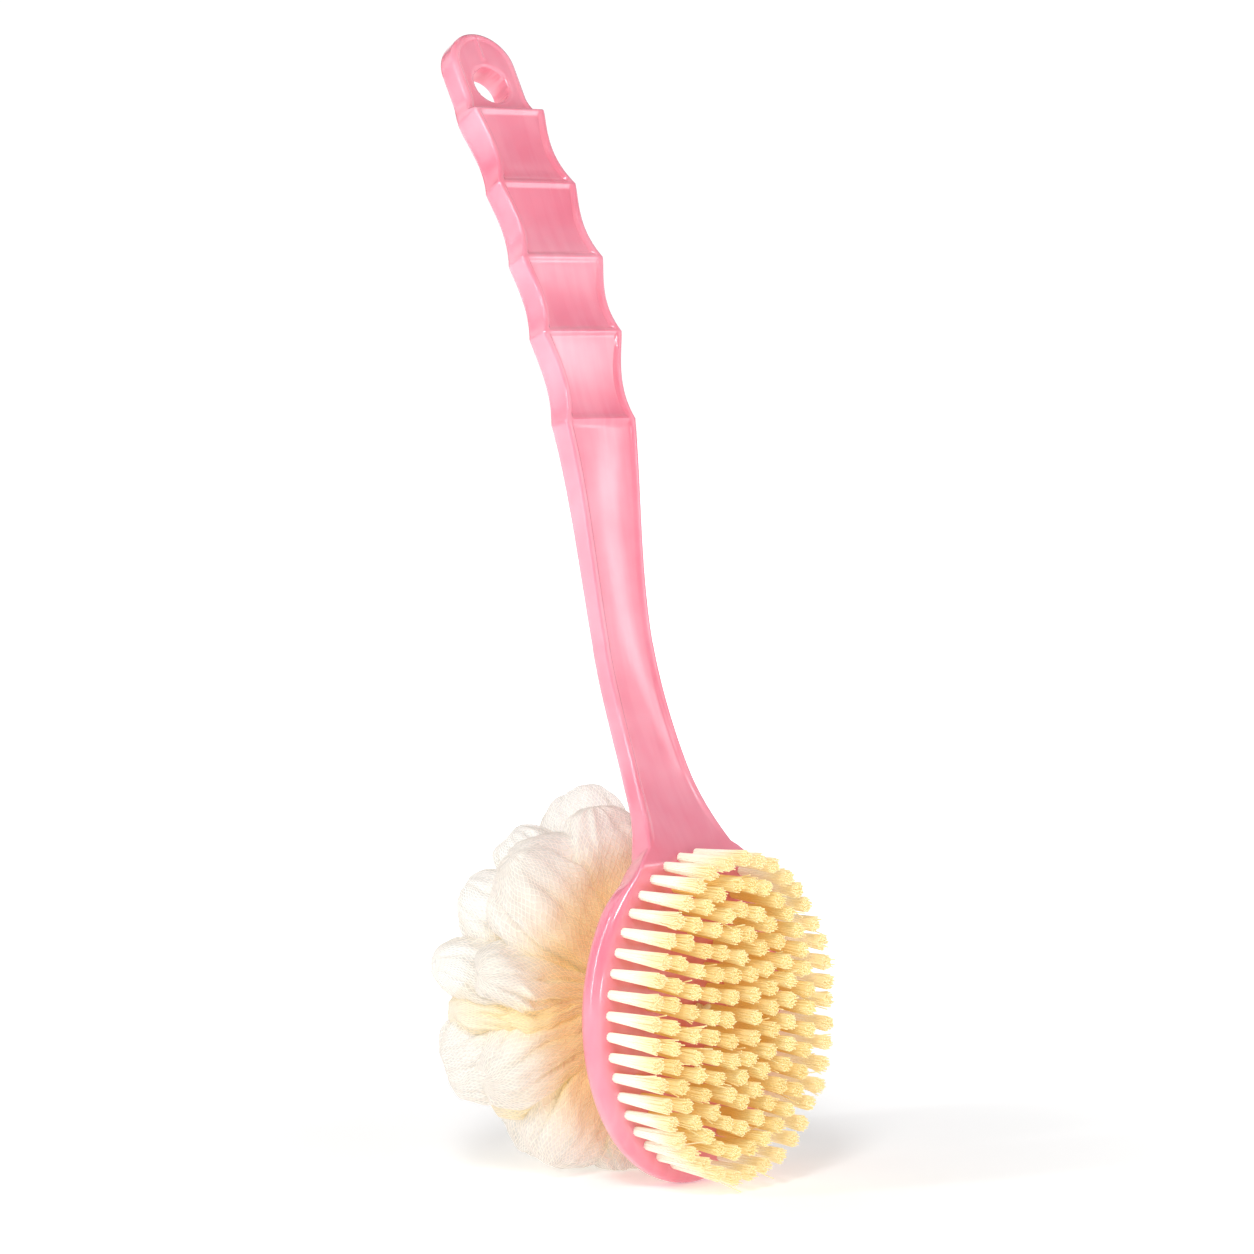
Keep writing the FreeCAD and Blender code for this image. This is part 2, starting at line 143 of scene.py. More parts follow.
# %% The node classes
class Shade:
    """One output of a node, with Python's operators for its maths."""

    def __init__(self, graph, socket):
        self.graph = graph
        self.socket = socket

    def part(self, output):
        """Another output of the same node."""
        return Shade(self.graph, self.socket.node.outputs[output])

    def __add__(self, other):
        return self.graph.sum("ADD", self, other)

    def __sub__(self, other):
        return self.graph.sum("SUBTRACT", self, other)

    def __rsub__(self, other):
        return self.graph.sum("SUBTRACT", other, self)

    def __mul__(self, other):
        return self.graph.sum("MULTIPLY", self, other)

    def __truediv__(self, other):
        return self.graph.sum("DIVIDE", self, other)

    def between(self, low, high, start=0.0, end=1.0):
        """The value's place between low and high, smoothed, as start to end."""
        ranges = {"interpolation_type": "SMOOTHSTEP"}
        return self.graph.node("ShaderNodeMapRange", ranges, {0: self, 1: low, 2: high, 3: start, 4: end})


class Graph:
    """A node tree under construction."""

    def __init__(self, tree):
        self.tree = tree

    def node(self, kind, settings=None, sockets=None, output=0):
        """Add a node: its settings first, then its sockets' values or links. Gives the output asked for."""
        node = self.tree.nodes.new(kind)
        for name, value in (settings or {}).items():
            setattr(node, name, value)
        for key, value in (sockets or {}).items():
            if isinstance(value, Shade):
                self.tree.links.new(value.socket, node.inputs[key])
            else:
                node.inputs[key].default_value = value
        return Shade(self, node.outputs[output]) if node.outputs else None

    def sum(self, operation, *values):
        return self.node("ShaderNodeMath", {"operation": operation}, dict(enumerate(values)))


class Paint(Graph):
    """One material, or the world's, built from nothing."""

    def __init__(self, name, world=None):
        self.material = world or bpy.data.materials.new(name)
        self.material.use_nodes = True
        super().__init__(self.material.node_tree)
        self.tree.nodes.clear()

    def place(self):
        """The point on the piece, in metres."""
        return self.node("ShaderNodeTexCoord", output="Object")

    def stored(self, name):
        """A value kept on the mesh."""
        return self.node("ShaderNodeAttribute", {"attribute_name": name}, output="Fac")

    def noise(self, vector, scale, detail=2.0):
        return self.node("ShaderNodeTexNoise", {}, {"Vector": vector, "Scale": scale, "Detail": detail})

    def blend(self, share, first, second):
        """A mix of two colours."""
        sockets = {"Factor": share, 6: first, 7: second}
        return self.node("ShaderNodeMix", {"data_type": "RGBA"}, sockets, output=2)

    def stretch(self, vector, factors):
        return self.node("ShaderNodeVectorMath", {"operation": "MULTIPLY"}, {0: vector, 1: factors})

    def bump(self, height, distance, strength=1.0):
        return self.node("ShaderNodeBump", {}, {"Height": height, "Distance": distance, "Strength": strength})

    def finish(self, **sockets):
        """Close the material with a Principled surface. A socket's name is written with underscores."""
        named = {name.replace("_", " "): value for name, value in sockets.items()}
        surface = self.node("ShaderNodeBsdfPrincipled", {}, named)
        self.node("ShaderNodeOutputMaterial", {}, {"Surface": surface})
        return self.material


def colour(red, green, blue):
    """An opaque colour from the three numbers of an 8-bit colour picker, made linear."""
    linear = []
    for part in (red, green, blue):
        share = part / 255
        linear.append(share / 12.92 if share <= 0.04045 else ((share + 0.055) / 1.055) ** 2.4)
    return (*linear, 1.0)


# %% [markdown]
# ## The white room
#
# Glossy plastic mirrors the room that it stands in, and an even white sky would leave it flat. So the camera
# sees white, while every other ray meets soft bright and dim panels, made from stretched noise. The floor is
# matt, and away from the brush it gives off a little light, which hides its edge and leaves the shadow.

# %% The room's light
world = bpy.data.worlds.new("white_room")
bpy.context.scene.world = world
paint = Paint("sky", world)
direction = paint.node("ShaderNodeTexCoord", output="Generated")
panels = paint.noise(paint.stretch(direction, (3.4, 3.4, 1.3)), 1.0, 1.0).between(0.47, 0.6)
seen = paint.node("ShaderNodeLightPath", output="Is Camera Ray")
SKY_SEEN, DIM_SKY, BRIGHT_PANELS = 1.05, 0.1, 0.75
light = (panels * BRIGHT_PANELS + DIM_SKY) * (1 - seen) + seen * SKY_SEEN
paint.node("ShaderNodeOutputWorld", {}, {"Surface": paint.node("ShaderNodeBackground", {}, {
    "Color": (1.0, 1.0, 1.0, 1.0), "Strength": light})})

# %% The floor's finish
NEAR_FLOOR, FAR_FLOOR = (0.3, 0.3, 0.3, 1.0), (0.85, 0.85, 0.85, 1.0)
paint = Paint("white_floor")
far = paint.node("ShaderNodeVectorMath", {"operation": "LENGTH"}, {0: paint.place()}, output=1)
floor.data.materials.append(paint.finish(
    Base_Color=colour(250, 250, 250), Roughness=0.9, Specular_IOR_Level=0.1,
    Emission_Color=paint.blend(far.between(0.06, 0.5), NEAR_FLOOR, FAR_FLOOR), Emission_Strength=1.0))


# %% [markdown]
# ## The handle
#
# The handle is one moulding in polypropylene: an oval head, a slim neck that leans back, a grip with five
# finger lines, and a round end with a hanging hole. It could be melted together from simple bodies with a
# voxel remesh, but that would round off its crisp lines. Its shape follows a rule, though: a bar whose
# outline, thickness and hollows change along one bending line. So a loop lays one section after another
# along that line, one skin joins them all, and two holes are cut through it.

# %% Helpers for meshes
SAME_POINT = 1e-7


def new_piece(name, vertices, faces):
    """A smooth mesh object from points in metres and faces."""
    mesh = bpy.data.meshes.new(name)
    mesh.from_pydata([tuple(v) for v in vertices], [], [tuple(f) for f in faces])
    mesh.update()
    mesh.polygons.foreach_set("use_smooth", [True] * len(mesh.polygons))
    piece = bpy.data.objects.new(name, mesh)
    bpy.context.collection.objects.link(piece)
    return piece


def skinned(rows, ends):
    """The points and faces of a skin over closed rows of points, with a fan round a point at each end."""
    columns = len(rows[0])
    points = [Vector(p) for row in rows for p in row]
    faces = []
    for start in range(0, len(points) - columns, columns):
        for j in range(columns):
            k = (j + 1) % columns
            faces.append((start + j, start + k, start + columns + k, start + columns + j))
    for start, end in ((0, ends[0]), (len(points) - columns, ends[1])):
        faces += [(start + j, start + (j + 1) % columns, len(points)) for j in range(columns)]
        points.append(Vector(end))
    return points, faces


def closed_piece(name, *skins):
    """A mesh object from one or more closed skins."""
    points, faces = [], []
    for more_points, more_faces in skins:
        faces += [tuple(len(points) + corner for corner in face) for face in more_faces]
        points += more_points
    piece = new_piece(name, points, faces)
    outward(piece.data)
    return piece


def outward(mesh):
    """Turn every face of a closed mesh outwards. Its maps and stored values turn with the faces."""
    work = bmesh.new()
    work.from_mesh(mesh)
    bmesh.ops.remove_doubles(work, verts=work.verts, dist=SAME_POINT)
    bmesh.ops.recalc_face_normals(work, faces=work.faces)
    work.to_mesh(mesh)
    work.free()


def settled(piece, name):
    """The piece with its modifiers worked out, as a plain mesh object."""
    evaluated = piece.evaluated_get(bpy.context.evaluated_depsgraph_get())
    mesh = bpy.data.meshes.new_from_object(evaluated)
    bpy.data.objects.remove(piece)
    mesh.name = name
    plain = bpy.data.objects.new(name, mesh)
    bpy.context.collection.objects.link(plain)
    return plain


def smoothstep(low, high, value):
    share = min(max((value - low) / (high - low), 0.0), 1.0)
    return share * share * (3 - 2 * share)


# %% The handle's line
# Height and setback of the front face, in millimetres from the floor and from the head's face.
ROOT, WAIST, GRIP, THUMB_PITCH, PITCH, RIDGES = 103.5, 164.0, 233.4, 27.2, 23.3, 5
RIDGE_HEIGHTS = [GRIP] + [GRIP + THUMB_PITCH + i * PITCH for i in range(RIDGES - 1)]
TOP = RIDGE_HEIGHTS[-1]
LINE = [(ROOT, 2.5), (126.0, 16.8), (WAIST, 32.2), (GRIP, 45.6), (RIDGE_HEIGHTS[2], 64.3), (TOP, 90.9)]


def front_line(height):
    """Setback and slope of the front face at a height: a smooth curve through the line's points."""
    slopes = []
    for i in range(len(LINE)):
        low, high = LINE[max(i - 1, 0)], LINE[min(i + 1, len(LINE) - 1)]
        slopes.append((high[1] - low[1]) / (high[0] - low[0]))
    if height >= TOP:
        return LINE[-1][1] + (height - TOP) * slopes[-1], slopes[-1]
    i = max(k for k in range(len(LINE) - 1) if k == 0 or height >= LINE[k][0])
    (z0, y0), (z1, y1) = LINE[i], LINE[i + 1]
    step = z1 - z0
    share = max((height - z0) / step, 0.0)
    rise0, rise1 = slopes[i] * step, slopes[i + 1] * step
    bend, swing = 2 * (y0 - y1) + rise0 + rise1, 3 * (y1 - y0) - 2 * rise0 - rise1
    setback = y0 + rise0 * share + swing * share**2 + bend * share**3
    return setback, (rise0 + 2 * swing * share + 3 * bend * share**2) / step


# %% The handle's widths along that line
# All in millimetres. The finger lines are counted from the bottom.
PLATE, RIM = 8.6, 3.6
ROOT_WIDE, WAIST_WIDE, RIDGE_WIDE, PALM_WIDE = 34.5, 19.8, 28.2, 32.8
FLARE = 14.0
EYE_RISE, EYE_RADIUS, EYE_SETBACK, HANG_RISE, HANG_RADIUS = 16.2, 12.3, 3.6, 10.2, 6.6
TOP_LEAN = math.atan(front_line(TOP)[1])
EYE_REACH = EYE_RISE / math.cos(TOP_LEAN)
HANG_REACH = HANG_RISE / math.cos(TOP_LEAN)


def head_half_width(height):
    """Half the oval head's width at a height."""
    share = (height - HEAD_TALL_MM) / HEAD_TALL_MM
    return HEAD_WIDE_MM * math.sqrt(max(1 - share * share, 0.0))


def neck_half_width(height):
    if height < WAIST:
        return (WAIST_WIDE + (ROOT_WIDE - WAIST_WIDE) * math.exp((ROOT - height) / FLARE)) / 2
    return (WAIST_WIDE + (RIDGE_WIDE - WAIST_WIDE) * ((height - WAIST) / (GRIP - WAIST)) ** 1.8) / 2


def grip_half_width(height):
    """Half the width at the finger lines, as one smooth swell along the grip."""
    place = (height - GRIP) / (TOP - GRIP)
    return (RIDGE_WIDE + (PALM_WIDE - RIDGE_WIDE) * math.sin(math.pi * place)) / 2


def soft_larger(first, second, melt):
    """The larger of two values, with a rounded change from one to the other."""
    gap = max(melt - abs(first - second), 0.0)
    return max(first, second) + gap * gap / (4 * melt)


# %% The front face's hollows
RAIL, RECESS, SCALLOP, BACK_SCALLOP, SCOOP = 2.0, 0.6, 2.9, 1.6, 1.35


def rest_share(height):
    """How far down its finger rest a height is: 0 at the line above, 1 at the line below."""
    for low, high in zip(RIDGE_HEIGHTS, RIDGE_HEIGHTS[1:]):
        if low < height < high:
            return (high - height) / (high - low)
    return 0.0


def rest_curve(height):
    """The depth of a finger rest as a share of its deepest: gentle below a line, steep down to the next."""
    share = rest_share(height) ** 1.25
    return 4 * share * (1 - share)


def recess(height):
    """The sunk panel between the rails: it starts above the head and stops short at every finger line."""
    depth = RECESS * smoothstep(ROOT - 1, ROOT + 16, height)
    if height > GRIP - 3:
        side = min((height - ridge for ridge in RIDGE_HEIGHTS), key=abs)
        depth *= smoothstep(0.35, 1.9 if side > 0 else 1.3, abs(side))
    return depth


def hollow(x, edge, half_width, height):
    """How far the front face is sunk at a point. edge is its distance from the outline."""
    panel = smoothstep(RAIL - 0.25, RAIL + 0.75, edge)
    across = 1 - (x / half_width) ** 2
    dish = 0.45 * smoothstep(ROOT, ROOT + 20, height) * across if height < GRIP else 0.0
    return panel * (recess(height) + dish) + SCOOP * rest_curve(height) * (0.35 + 0.65 * panel)


# %% [markdown]
# ## Stations along the handle
#
# A station is one cut through the moulding, square to its line: how wide, how thick, how rounded. They run
# from the head's lowest point to the end of the eye, and lie closer together where the shape changes fast.
# A sweep with one profile would be shorter, but the real handle's profile never stays the same.

# %% Stations of the head
HEAD_ROWS, LEAN_START, ROOT_STEP = 60, 84.0, 0.7
FILLET_LOW, FILLET_HIGH = 94.0, 101.0
RAIL_RIM, BACK_RIM = 0.85, 2.4
NECK_WEB, WEB_FADE_DOWN, WEB_FADE_UP = 4.0, 6.0, 9.0


# half and back are half widths, front is setback and height, rims are the front's and the back's rounding,
# and ending is how far past the eye's middle a station of the eye lies.
Station = namedtuple("Station", "height half back front lean thick rims ending", defaults=(None,))


def head_stations():
    """The oval plate, and its blend into the leaning neck."""
    found = []
    setback, slope = front_line(ROOT)
    crease = ROOT - setback / slope
    low, high = math.radians(1.5), math.acos(1 - LEAN_START / HEAD_TALL_MM)
    heights = [HEAD_TALL_MM * (1 - math.cos(low + (high - low) * i / HEAD_ROWS)) for i in range(HEAD_ROWS)]
    heights += [LEAN_START + ROOT_STEP * i for i in range(int((ROOT - LEAN_START) / ROOT_STEP) + 1)]
    for height in heights:
        half = head_half_width(height)
        if height > FILLET_LOW:
            melt = 1.0 + 7.0 * smoothstep(FILLET_LOW, FILLET_HIGH, height)
            half = soft_larger(half, neck_half_width(height), melt)
        lean = math.atan(slope) * smoothstep(LEAN_START, ROOT, height)
        setback = soft_larger(0.0, (height - crease) * slope, 0.5)
        thick = (PLATE - setback) / math.cos(lean) + neck_web(height)
        blend = smoothstep(88.0, FILLET_HIGH, height)
        rims = (RIM + (1.0 - RIM) * blend, RIM + (BACK_RIM - RIM) * blend)
        found.append(Station(height, half, half, (setback, height), lean, thick, rims))
    return found


def neck_web(height):
    """The web behind the joint of neck and head, as extra thickness that fades out both ways."""
    side = WEB_FADE_DOWN if height < ROOT else WEB_FADE_UP
    return NECK_WEB * math.exp(-(((height - ROOT) / side) ** 2))


# %% Stations of the neck, the grip and the eye
NECK_THICK, GRIP_THICK, EYE_THICK = 7.6, 9.2, 11.6
NEAR_ROOT, NEAR_STEP, NECK_STEP, REST_ROWS = 24.3, 0.9, 1.3, 50


def neck_stations():
    found = []
    heights = [ROOT + NEAR_STEP * i for i in range(1, 28)]
    steps = int((GRIP - ROOT - NEAR_ROOT) / NECK_STEP)
    heights += [ROOT + NEAR_ROOT + NECK_STEP * i for i in range(1, steps)]
    for height in heights:
        setback, slope = front_line(height)
        thick = NECK_THICK + 1.6 * smoothstep(WAIST, GRIP, height) + neck_web(height)
        half = neck_half_width(height)
        rims = (RAIL_RIM, BACK_RIM)
        found.append(Station(height, half, half, (setback, height), math.atan(slope), thick, rims))
    return found


def grip_stations():
    found = []
    heights = [low + (high - low) * i / REST_ROWS for low, high in zip(RIDGE_HEIGHTS, RIDGE_HEIGHTS[1:])
               for i in range(REST_ROWS)]
    for height in heights + [TOP]:
        setback, slope = front_line(height)
        half, dip = grip_half_width(height), rest_curve(height)
        thick = GRIP_THICK + 2.4 * smoothstep(TOP - PITCH, TOP, height)
        found.append(Station(height, half - SCALLOP * dip, half - BACK_SCALLOP * dip, (setback, height),
                             math.atan(slope), thick, (RAIL_RIM, 2.2)))
    return found


def eye_stations():
    """The step in above the last line, then the round end."""
    found = []
    start = front_line(TOP)[0]
    reaches = [0.2 * i for i in range(1, 16)]
    reaches += [3.0 + 0.45 * i for i in range(1, int((EYE_REACH - 3.0) / 0.45))]
    turns = [math.radians(2.2 * i) for i in range(41)]
    reaches += [EYE_REACH + EYE_RADIUS * math.sin(turn) for turn in turns]
    for reach in reaches:
        past = max(reach - EYE_REACH, 0.0)
        half = math.sqrt(EYE_RADIUS**2 - past**2)
        half += (RIDGE_WIDE / 2 - EYE_RADIUS) * (1 - smoothstep(0, 7, reach))
        sunk = EYE_SETBACK * smoothstep(0.2, 2.4, reach)
        front = (start + reach * math.sin(TOP_LEAN) + sunk * math.cos(TOP_LEAN),
                 TOP + reach * math.cos(TOP_LEAN) - sunk * math.sin(TOP_LEAN))
        thick = EYE_THICK + 1.2 * smoothstep(0.0, 6.0, reach) - sunk
        rims = (RAIL_RIM + 0.9 * smoothstep(1.0, 5.0, reach), BACK_RIM)
        found.append(Station(TOP + reach, half, half, front, TOP_LEAN, thick, rims, reach - EYE_REACH))
    return found


stations = head_stations() + neck_stations() + grip_stations() + eye_stations()
print(f"{len(stations)} stations along the handle")


# %% One section of the handle
ROUND_POINTS, RAIL_POINTS, PANEL_POINTS, SIDE_POINTS = 7, 7, 12, 4
OVAL_TOP = 80.0


def rounding(distance, radius):
    """How far a rounded edge falls away, at a distance inside the outline."""
    if distance >= radius:
        return 0.0
    return radius - math.sqrt(max(radius**2 - (radius - max(distance, 0.0)) ** 2, 0.0))


def half_spread(half, radius, rail, rail_points, panel_points):
    """Offsets from the edge to the middle, close together on the rounding and the rail."""
    offsets = [radius * (1 - math.cos(math.pi / 2 * i / ROUND_POINTS)) for i in range(ROUND_POINTS)]
    inner = max(rail + 1.4, radius + 1.4)
    offsets += [radius + (inner - radius) * i / rail_points for i in range(rail_points)]
    fit = min(1.0, half / (1.3 * inner))
    offsets = [o * fit for o in offsets]
    return offsets + [inner * fit + (half - inner * fit) * i / panel_points for i in range(panel_points + 1)]


def edge_distance(s, x):
    """The distance from the outline: exact round the eye, near enough round the oval head."""
    if s.ending is not None and s.ending > 0:
        return EYE_RADIUS - math.hypot(x, s.ending)
    if s.height < OVAL_TOP:
        up = s.height - HEAD_TALL_MM
        ring = math.hypot(x / HEAD_WIDE_MM, up / HEAD_TALL_MM)
        return (1 - ring) * ring / math.hypot(x / HEAD_WIDE_MM**2, up / HEAD_TALL_MM**2)
    return s.half - abs(x)


def section(s):
    """One closed row of points: the front from left to right, then the back from right to left."""
    front, back = [], []
    offsets = half_spread(s.half, s.rims[0], RAIL, RAIL_POINTS, PANEL_POINTS)
    for x in [-s.half + o for o in offsets] + [s.half - o for o in offsets[-2::-1]]:
        edge = edge_distance(s, x)
        depth = rounding(edge, s.rims[0])
        if s.ending is not None:
            depth += eye_face(s, x, edge)
        elif s.height > ROOT - 1:
            depth += hollow(x, edge, s.half, s.height)
        front.append((x, depth))
    offsets = half_spread(s.back, s.rims[1], 0.0, 2, 6)
    for x in [s.back - o for o in offsets] + [-s.back + o for o in offsets[-2::-1]]:
        scaled = x * s.half / s.back
        back.append((x, s.thick - rounding(edge_distance(s, scaled), s.rims[1])))
    start, end = front[-1][1], back[0][1]
    strips = []
    for side in (1, -1):
        shares = [i / SIDE_POINTS for i in range(1, SIDE_POINTS)]
        strips.append([(side * (s.half + (s.back - s.half) * share), start + (end - start) * share)
                       for share in shares])
    points = front + strips[0] + back + strips[1][::-1]
    return [placed(s, x, depth) for x, depth in points]


def placed(s, x, depth):
    """A section's point in the shared frame."""
    setback, height = s.front
    setback += depth * math.cos(s.lean)
    height -= depth * math.sin(s.lean)
    return (x * MM, FACE + setback * MM, height * MM)


def eye_face(s, x, edge):
    """The eye's face: a rail round its edge, a shallow panel, and a rounded lip round the hole."""
    reach = s.height - TOP
    hole = math.hypot(x, reach - HANG_REACH) - HANG_RADIUS
    panel = smoothstep(RAIL - 0.25, RAIL + 0.75, edge) * smoothstep(2.2, 3.4, reach)
    lip = rounding(hole + 0.25, 1.4) if hole > -2 else 1.4
    seam = math.exp(-((x / 0.5) ** 2)) * smoothstep(2.0, 3.0, hole) * (reach > HANG_REACH)
    return 0.45 * panel * (1 - seam) + lip * smoothstep(0.4, 2.0, reach)


# %% The handle's skin
rows = [section(s) for s in stations]
ends = [sum((Vector(p) for p in row), Vector()) / len(row) for row in (rows[0], rows[-1])]
handle = closed_piece("handle_moulding", skinned(rows, ends))


def bored(piece, start, direction, radius, sides=96):
    """Cut a straight round hole right through a piece."""
    work = bmesh.new()
    bmesh.ops.create_cone(work, cap_ends=True, segments=sides, radius1=radius, radius2=radius,
                          depth=BORE_LENGTH)
    tool = bpy.data.meshes.new("bore")
    work.to_mesh(tool)
    work.free()
    cutter = bpy.data.objects.new("bore", tool)
    bpy.context.collection.objects.link(cutter)
    turn = Vector(direction).to_track_quat("Z", "Y").to_matrix().to_4x4()
    cutter.matrix_world = Matrix.Translation(start) @ turn
    cut = piece.modifiers.new("bore", "BOOLEAN")
    cut.object = cutter
    cut.solver = "EXACT"
    done = settled(piece, piece.name)
    bpy.data.objects.remove(cutter)
    return done


BORE_LENGTH, TIE_HOLE, SHARP_TURN = 0.03, 1.8, 38
eye_axis = Vector((0, math.cos(TOP_LEAN), -math.sin(TOP_LEAN)))
hang = Vector((0, FACE / MM + front_line(TOP + HANG_RISE)[0], TOP + HANG_RISE))
eye_spot = (hang + (EYE_SETBACK + 4.6) * eye_axis) * MM
handle = bored(handle, eye_spot, eye_axis, HANG_RADIUS * MM)
handle = bored(handle, Vector((0, FACE + PLATE / 2 * MM, MIDDLE)), Vector((0, 1, 0)), TIE_HOLE * MM, 32)




def crisp(piece, degrees):
    """Shade smooth, except over edges that turn more than an angle."""
    work = bmesh.new()
    work.from_mesh(piece.data)
    for edge in work.edges:
        edge.smooth = len(edge.link_faces) != 2 or edge.calc_face_angle(0) <= math.radians(degrees)
    for face in work.faces:
        face.smooth = True
    work.to_mesh(piece.data)
    work.free()


crisp(handle, SHARP_TURN)
print(f"handle: {len(handle.data.polygons)} faces")

# %% [markdown]
# ## The pink plastic
#
# The moulding is glossy and lets a little light in, so its thin edges glow and its hollows look deeper. A
# plain Principled shader with some scattering under a smooth surface gives that. Soft clouds and flow
# lines along the handle, both faint, keep the colour from looking painted.

# %% Pink plastic
paint = Paint("pink_plastic")
spot = paint.place()
clouds = paint.noise(spot, 28.0, 3.0).between(0.35, 0.65)
flow = paint.noise(paint.stretch(spot, (260.0, 60.0, 14.0)), 1.0, 2.0).between(0.4, 0.62)
pink = paint.blend(clouds * 0.7 + flow * 0.2, colour(242, 132, 154), colour(251, 162, 180))
ripple = paint.bump(paint.noise(spot, 90.0, 1.0), 0.00012, 0.35)
handle.data.materials.append(paint.finish(
    Base_Color=pink, Roughness=paint.noise(spot, 60.0).between(0.3, 0.7, 0.2, 0.27),
    Subsurface_Weight=0.35, Subsurface_Radius=(1.0, 0.45, 0.5), Subsurface_Scale=0.003,
    Specular_IOR_Level=0.5, Coat_Weight=1.0, Coat_Roughness=0.11, Normal=ripple))
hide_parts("handle")
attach(handle, "brush")

# %% [markdown]
# ## The bristles
#
# Each tuft on the real head is a bundle of nylon filaments, folded in half, that a flat metal anchor
# drives into a blind hole. The holes sit on five ovals, one inside the other. The bundle is tight at its
# root and opens towards the tips, where the filaments end a little unevenly and fray.
#
# A particle system could grow them, but the export needs plain meshes, and modelling 132 bundles by hand
# would repeat one idea. Geometry Nodes state it once: places spread evenly along an oval, copies of each
# place for its filaments, a straight line for every copy, and then every line's points moved between a
# root spot and a tip spot. Five runs of one tree, with other sizes, make the five rings. The head under
# them is solid here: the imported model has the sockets, and the bristles hide them.

# %% A graph for shapes
class Tree(Graph):
    """A geometry node tree under construction, whose named inputs are read with given()."""

    def __init__(self, name, inputs):
        super().__init__(bpy.data.node_groups.new(name, "GeometryNodeTree"))
        for label, kind in inputs.items():
            self.tree.interface.new_socket(label, in_out="INPUT", socket_type=f"NodeSocket{kind}")
        self.tree.interface.new_socket("Geometry", in_out="OUTPUT", socket_type="NodeSocketGeometry")
        self.input = self.tree.nodes.new("NodeGroupInput")

    def given(self, label):
        return Shade(self, self.input.outputs[label])

    def added(self, first, second):
        return self.node("ShaderNodeVectorMath", {"operation": "ADD"}, {0: first, 1: second})

    def scaled(self, direction, size):
        return self.node("ShaderNodeVectorMath", {"operation": "SCALE"}, {0: direction, "Scale": size})

    def point(self, x, y, z):
        return self.node("ShaderNodeCombineXYZ", {}, {0: x, 1: y, 2: z})

    def spread(self, most, seed):
        """A random vector, up to most either way in each direction."""
        corners = {0: (-most,) * 3, 1: (most,) * 3, "Seed": seed}
        return self.node("FunctionNodeRandomValue", {"data_type": "FLOAT_VECTOR"}, corners)

    def chance(self, low, high, seed):
        """A random number between low and high."""
        ends = {2: low, 3: high, "Seed": seed}
        return self.node("FunctionNodeRandomValue", {"data_type": "FLOAT"}, ends, 1)

    def keep(self, geometry, name, value, kind="FLOAT_VECTOR"):
        """Store a value on each point under a name."""
        return self.node("GeometryNodeStoreNamedAttribute", {"data_type": kind, "domain": "POINT"},
                         {"Geometry": geometry, "Name": name, "Value": value})

    def kept(self, name):
        return self.node("GeometryNodeInputNamedAttribute", {"data_type": "FLOAT_VECTOR"}, {"Name": name})

    def moved(self, geometry, position):
        return self.node("GeometryNodeSetPosition", {}, {"Geometry": geometry, "Position": position})

    def run(self, name, values):
        """A plain mesh object made by the tree, with its named inputs set."""
        carrier = bpy.data.objects.new(name, bpy.data.meshes.new(name))
        bpy.context.collection.objects.link(carrier)
        modifier = carrier.modifiers.new("tree", "NODES")
        modifier.node_group = self.tree
        for item in self.tree.interface.items_tree:
            if item.in_out == "INPUT":
                modifier[item.identifier] = values[item.name]
        return settled(carrier, name)


# %% Places on an oval, and a bundle at each
SIZES = ("Half Width", "Half Height", "Face", "Middle", "Shift", "Root Radius", "Tip Radius", "Reach",
         "Filament Radius", "Fray")
COUNTS = ("Tufts", "Filaments", "Seed")
tree = Tree("tuft_ring", {
    **dict.fromkeys(SIZES, "Float"), **dict.fromkeys(COUNTS, "Int"), "Nylon": "Material"})
given, seed = tree.given, tree.given("Seed")
GOLDEN_ANGLE = 2.39996
LEAN, WANDER = 0.00045, 0.00016
STRAYS_OVER, STRAY_FRAY = 0.985, 8.0

circle = tree.node("GeometryNodeCurvePrimitiveCircle", {}, {"Resolution": 256, "Radius": 1.0})
spot = tree.node("ShaderNodeSeparateXYZ", {}, {0: tree.node("GeometryNodeInputPosition")})
oval = tree.moved(circle, tree.point(
    spot.part(1) * given("Half Width"), given("Face"),
    tree.sum("MULTIPLY_ADD", spot, given("Half Height"), given("Middle"))))
places = tree.node("GeometryNodePoints", {}, {"Count": given("Tufts")})
along = (tree.node("GeometryNodeInputIndex") + given("Shift")) / given("Tufts")
sample = tree.node("GeometryNodeSampleCurve", {"mode": "FACTOR", "use_all_curves": False},
                   {"Curves": oval, "Factor": along}, 1)
places = tree.moved(places, sample)
places = tree.keep(places, "tone", tree.chance(0.0, 1.0, seed), "FLOAT")
places = tree.keep(places, "lean", tree.spread(LEAN, seed + 1))

# Copies of each place for its filaments, spread over a disc by the golden angle.
copies = tree.node("GeometryNodeDuplicateElements", {"domain": "POINT"},
                   {"Geometry": places, "Amount": given("Filaments")})
number = copies.part("Duplicate Index")
turn = number * GOLDEN_ANGLE
ring = tree.sum("SQRT", (number + 0.5) / given("Filaments"))
disc = tree.point(tree.sum("COSINE", turn) * ring, 0.0, tree.sum("SINE", turn) * ring)
place = tree.node("GeometryNodeInputPosition")
root = tree.added(place, tree.scaled(disc, given("Root Radius")))
tip = tree.added(place, tree.scaled(disc, given("Tip Radius")))
length = given("Reach") * tree.chance(0.97, 1.02, seed + 3)
tip = tree.added(tree.added(tip, tree.point(0.0, length * -1.0, 0.0)),
                 tree.added(tree.spread(WANDER, seed + 2), tree.kept("lean")))
stray = tree.sum("GREATER_THAN", tree.chance(0.0, 1.0, seed + 4), STRAYS_OVER)
fray_size = given("Fray") * tree.sum("MULTIPLY_ADD", stray, STRAY_FRAY, 1.0)
fray = tree.scaled(tree.spread(1.0, seed + 5), fray_size)
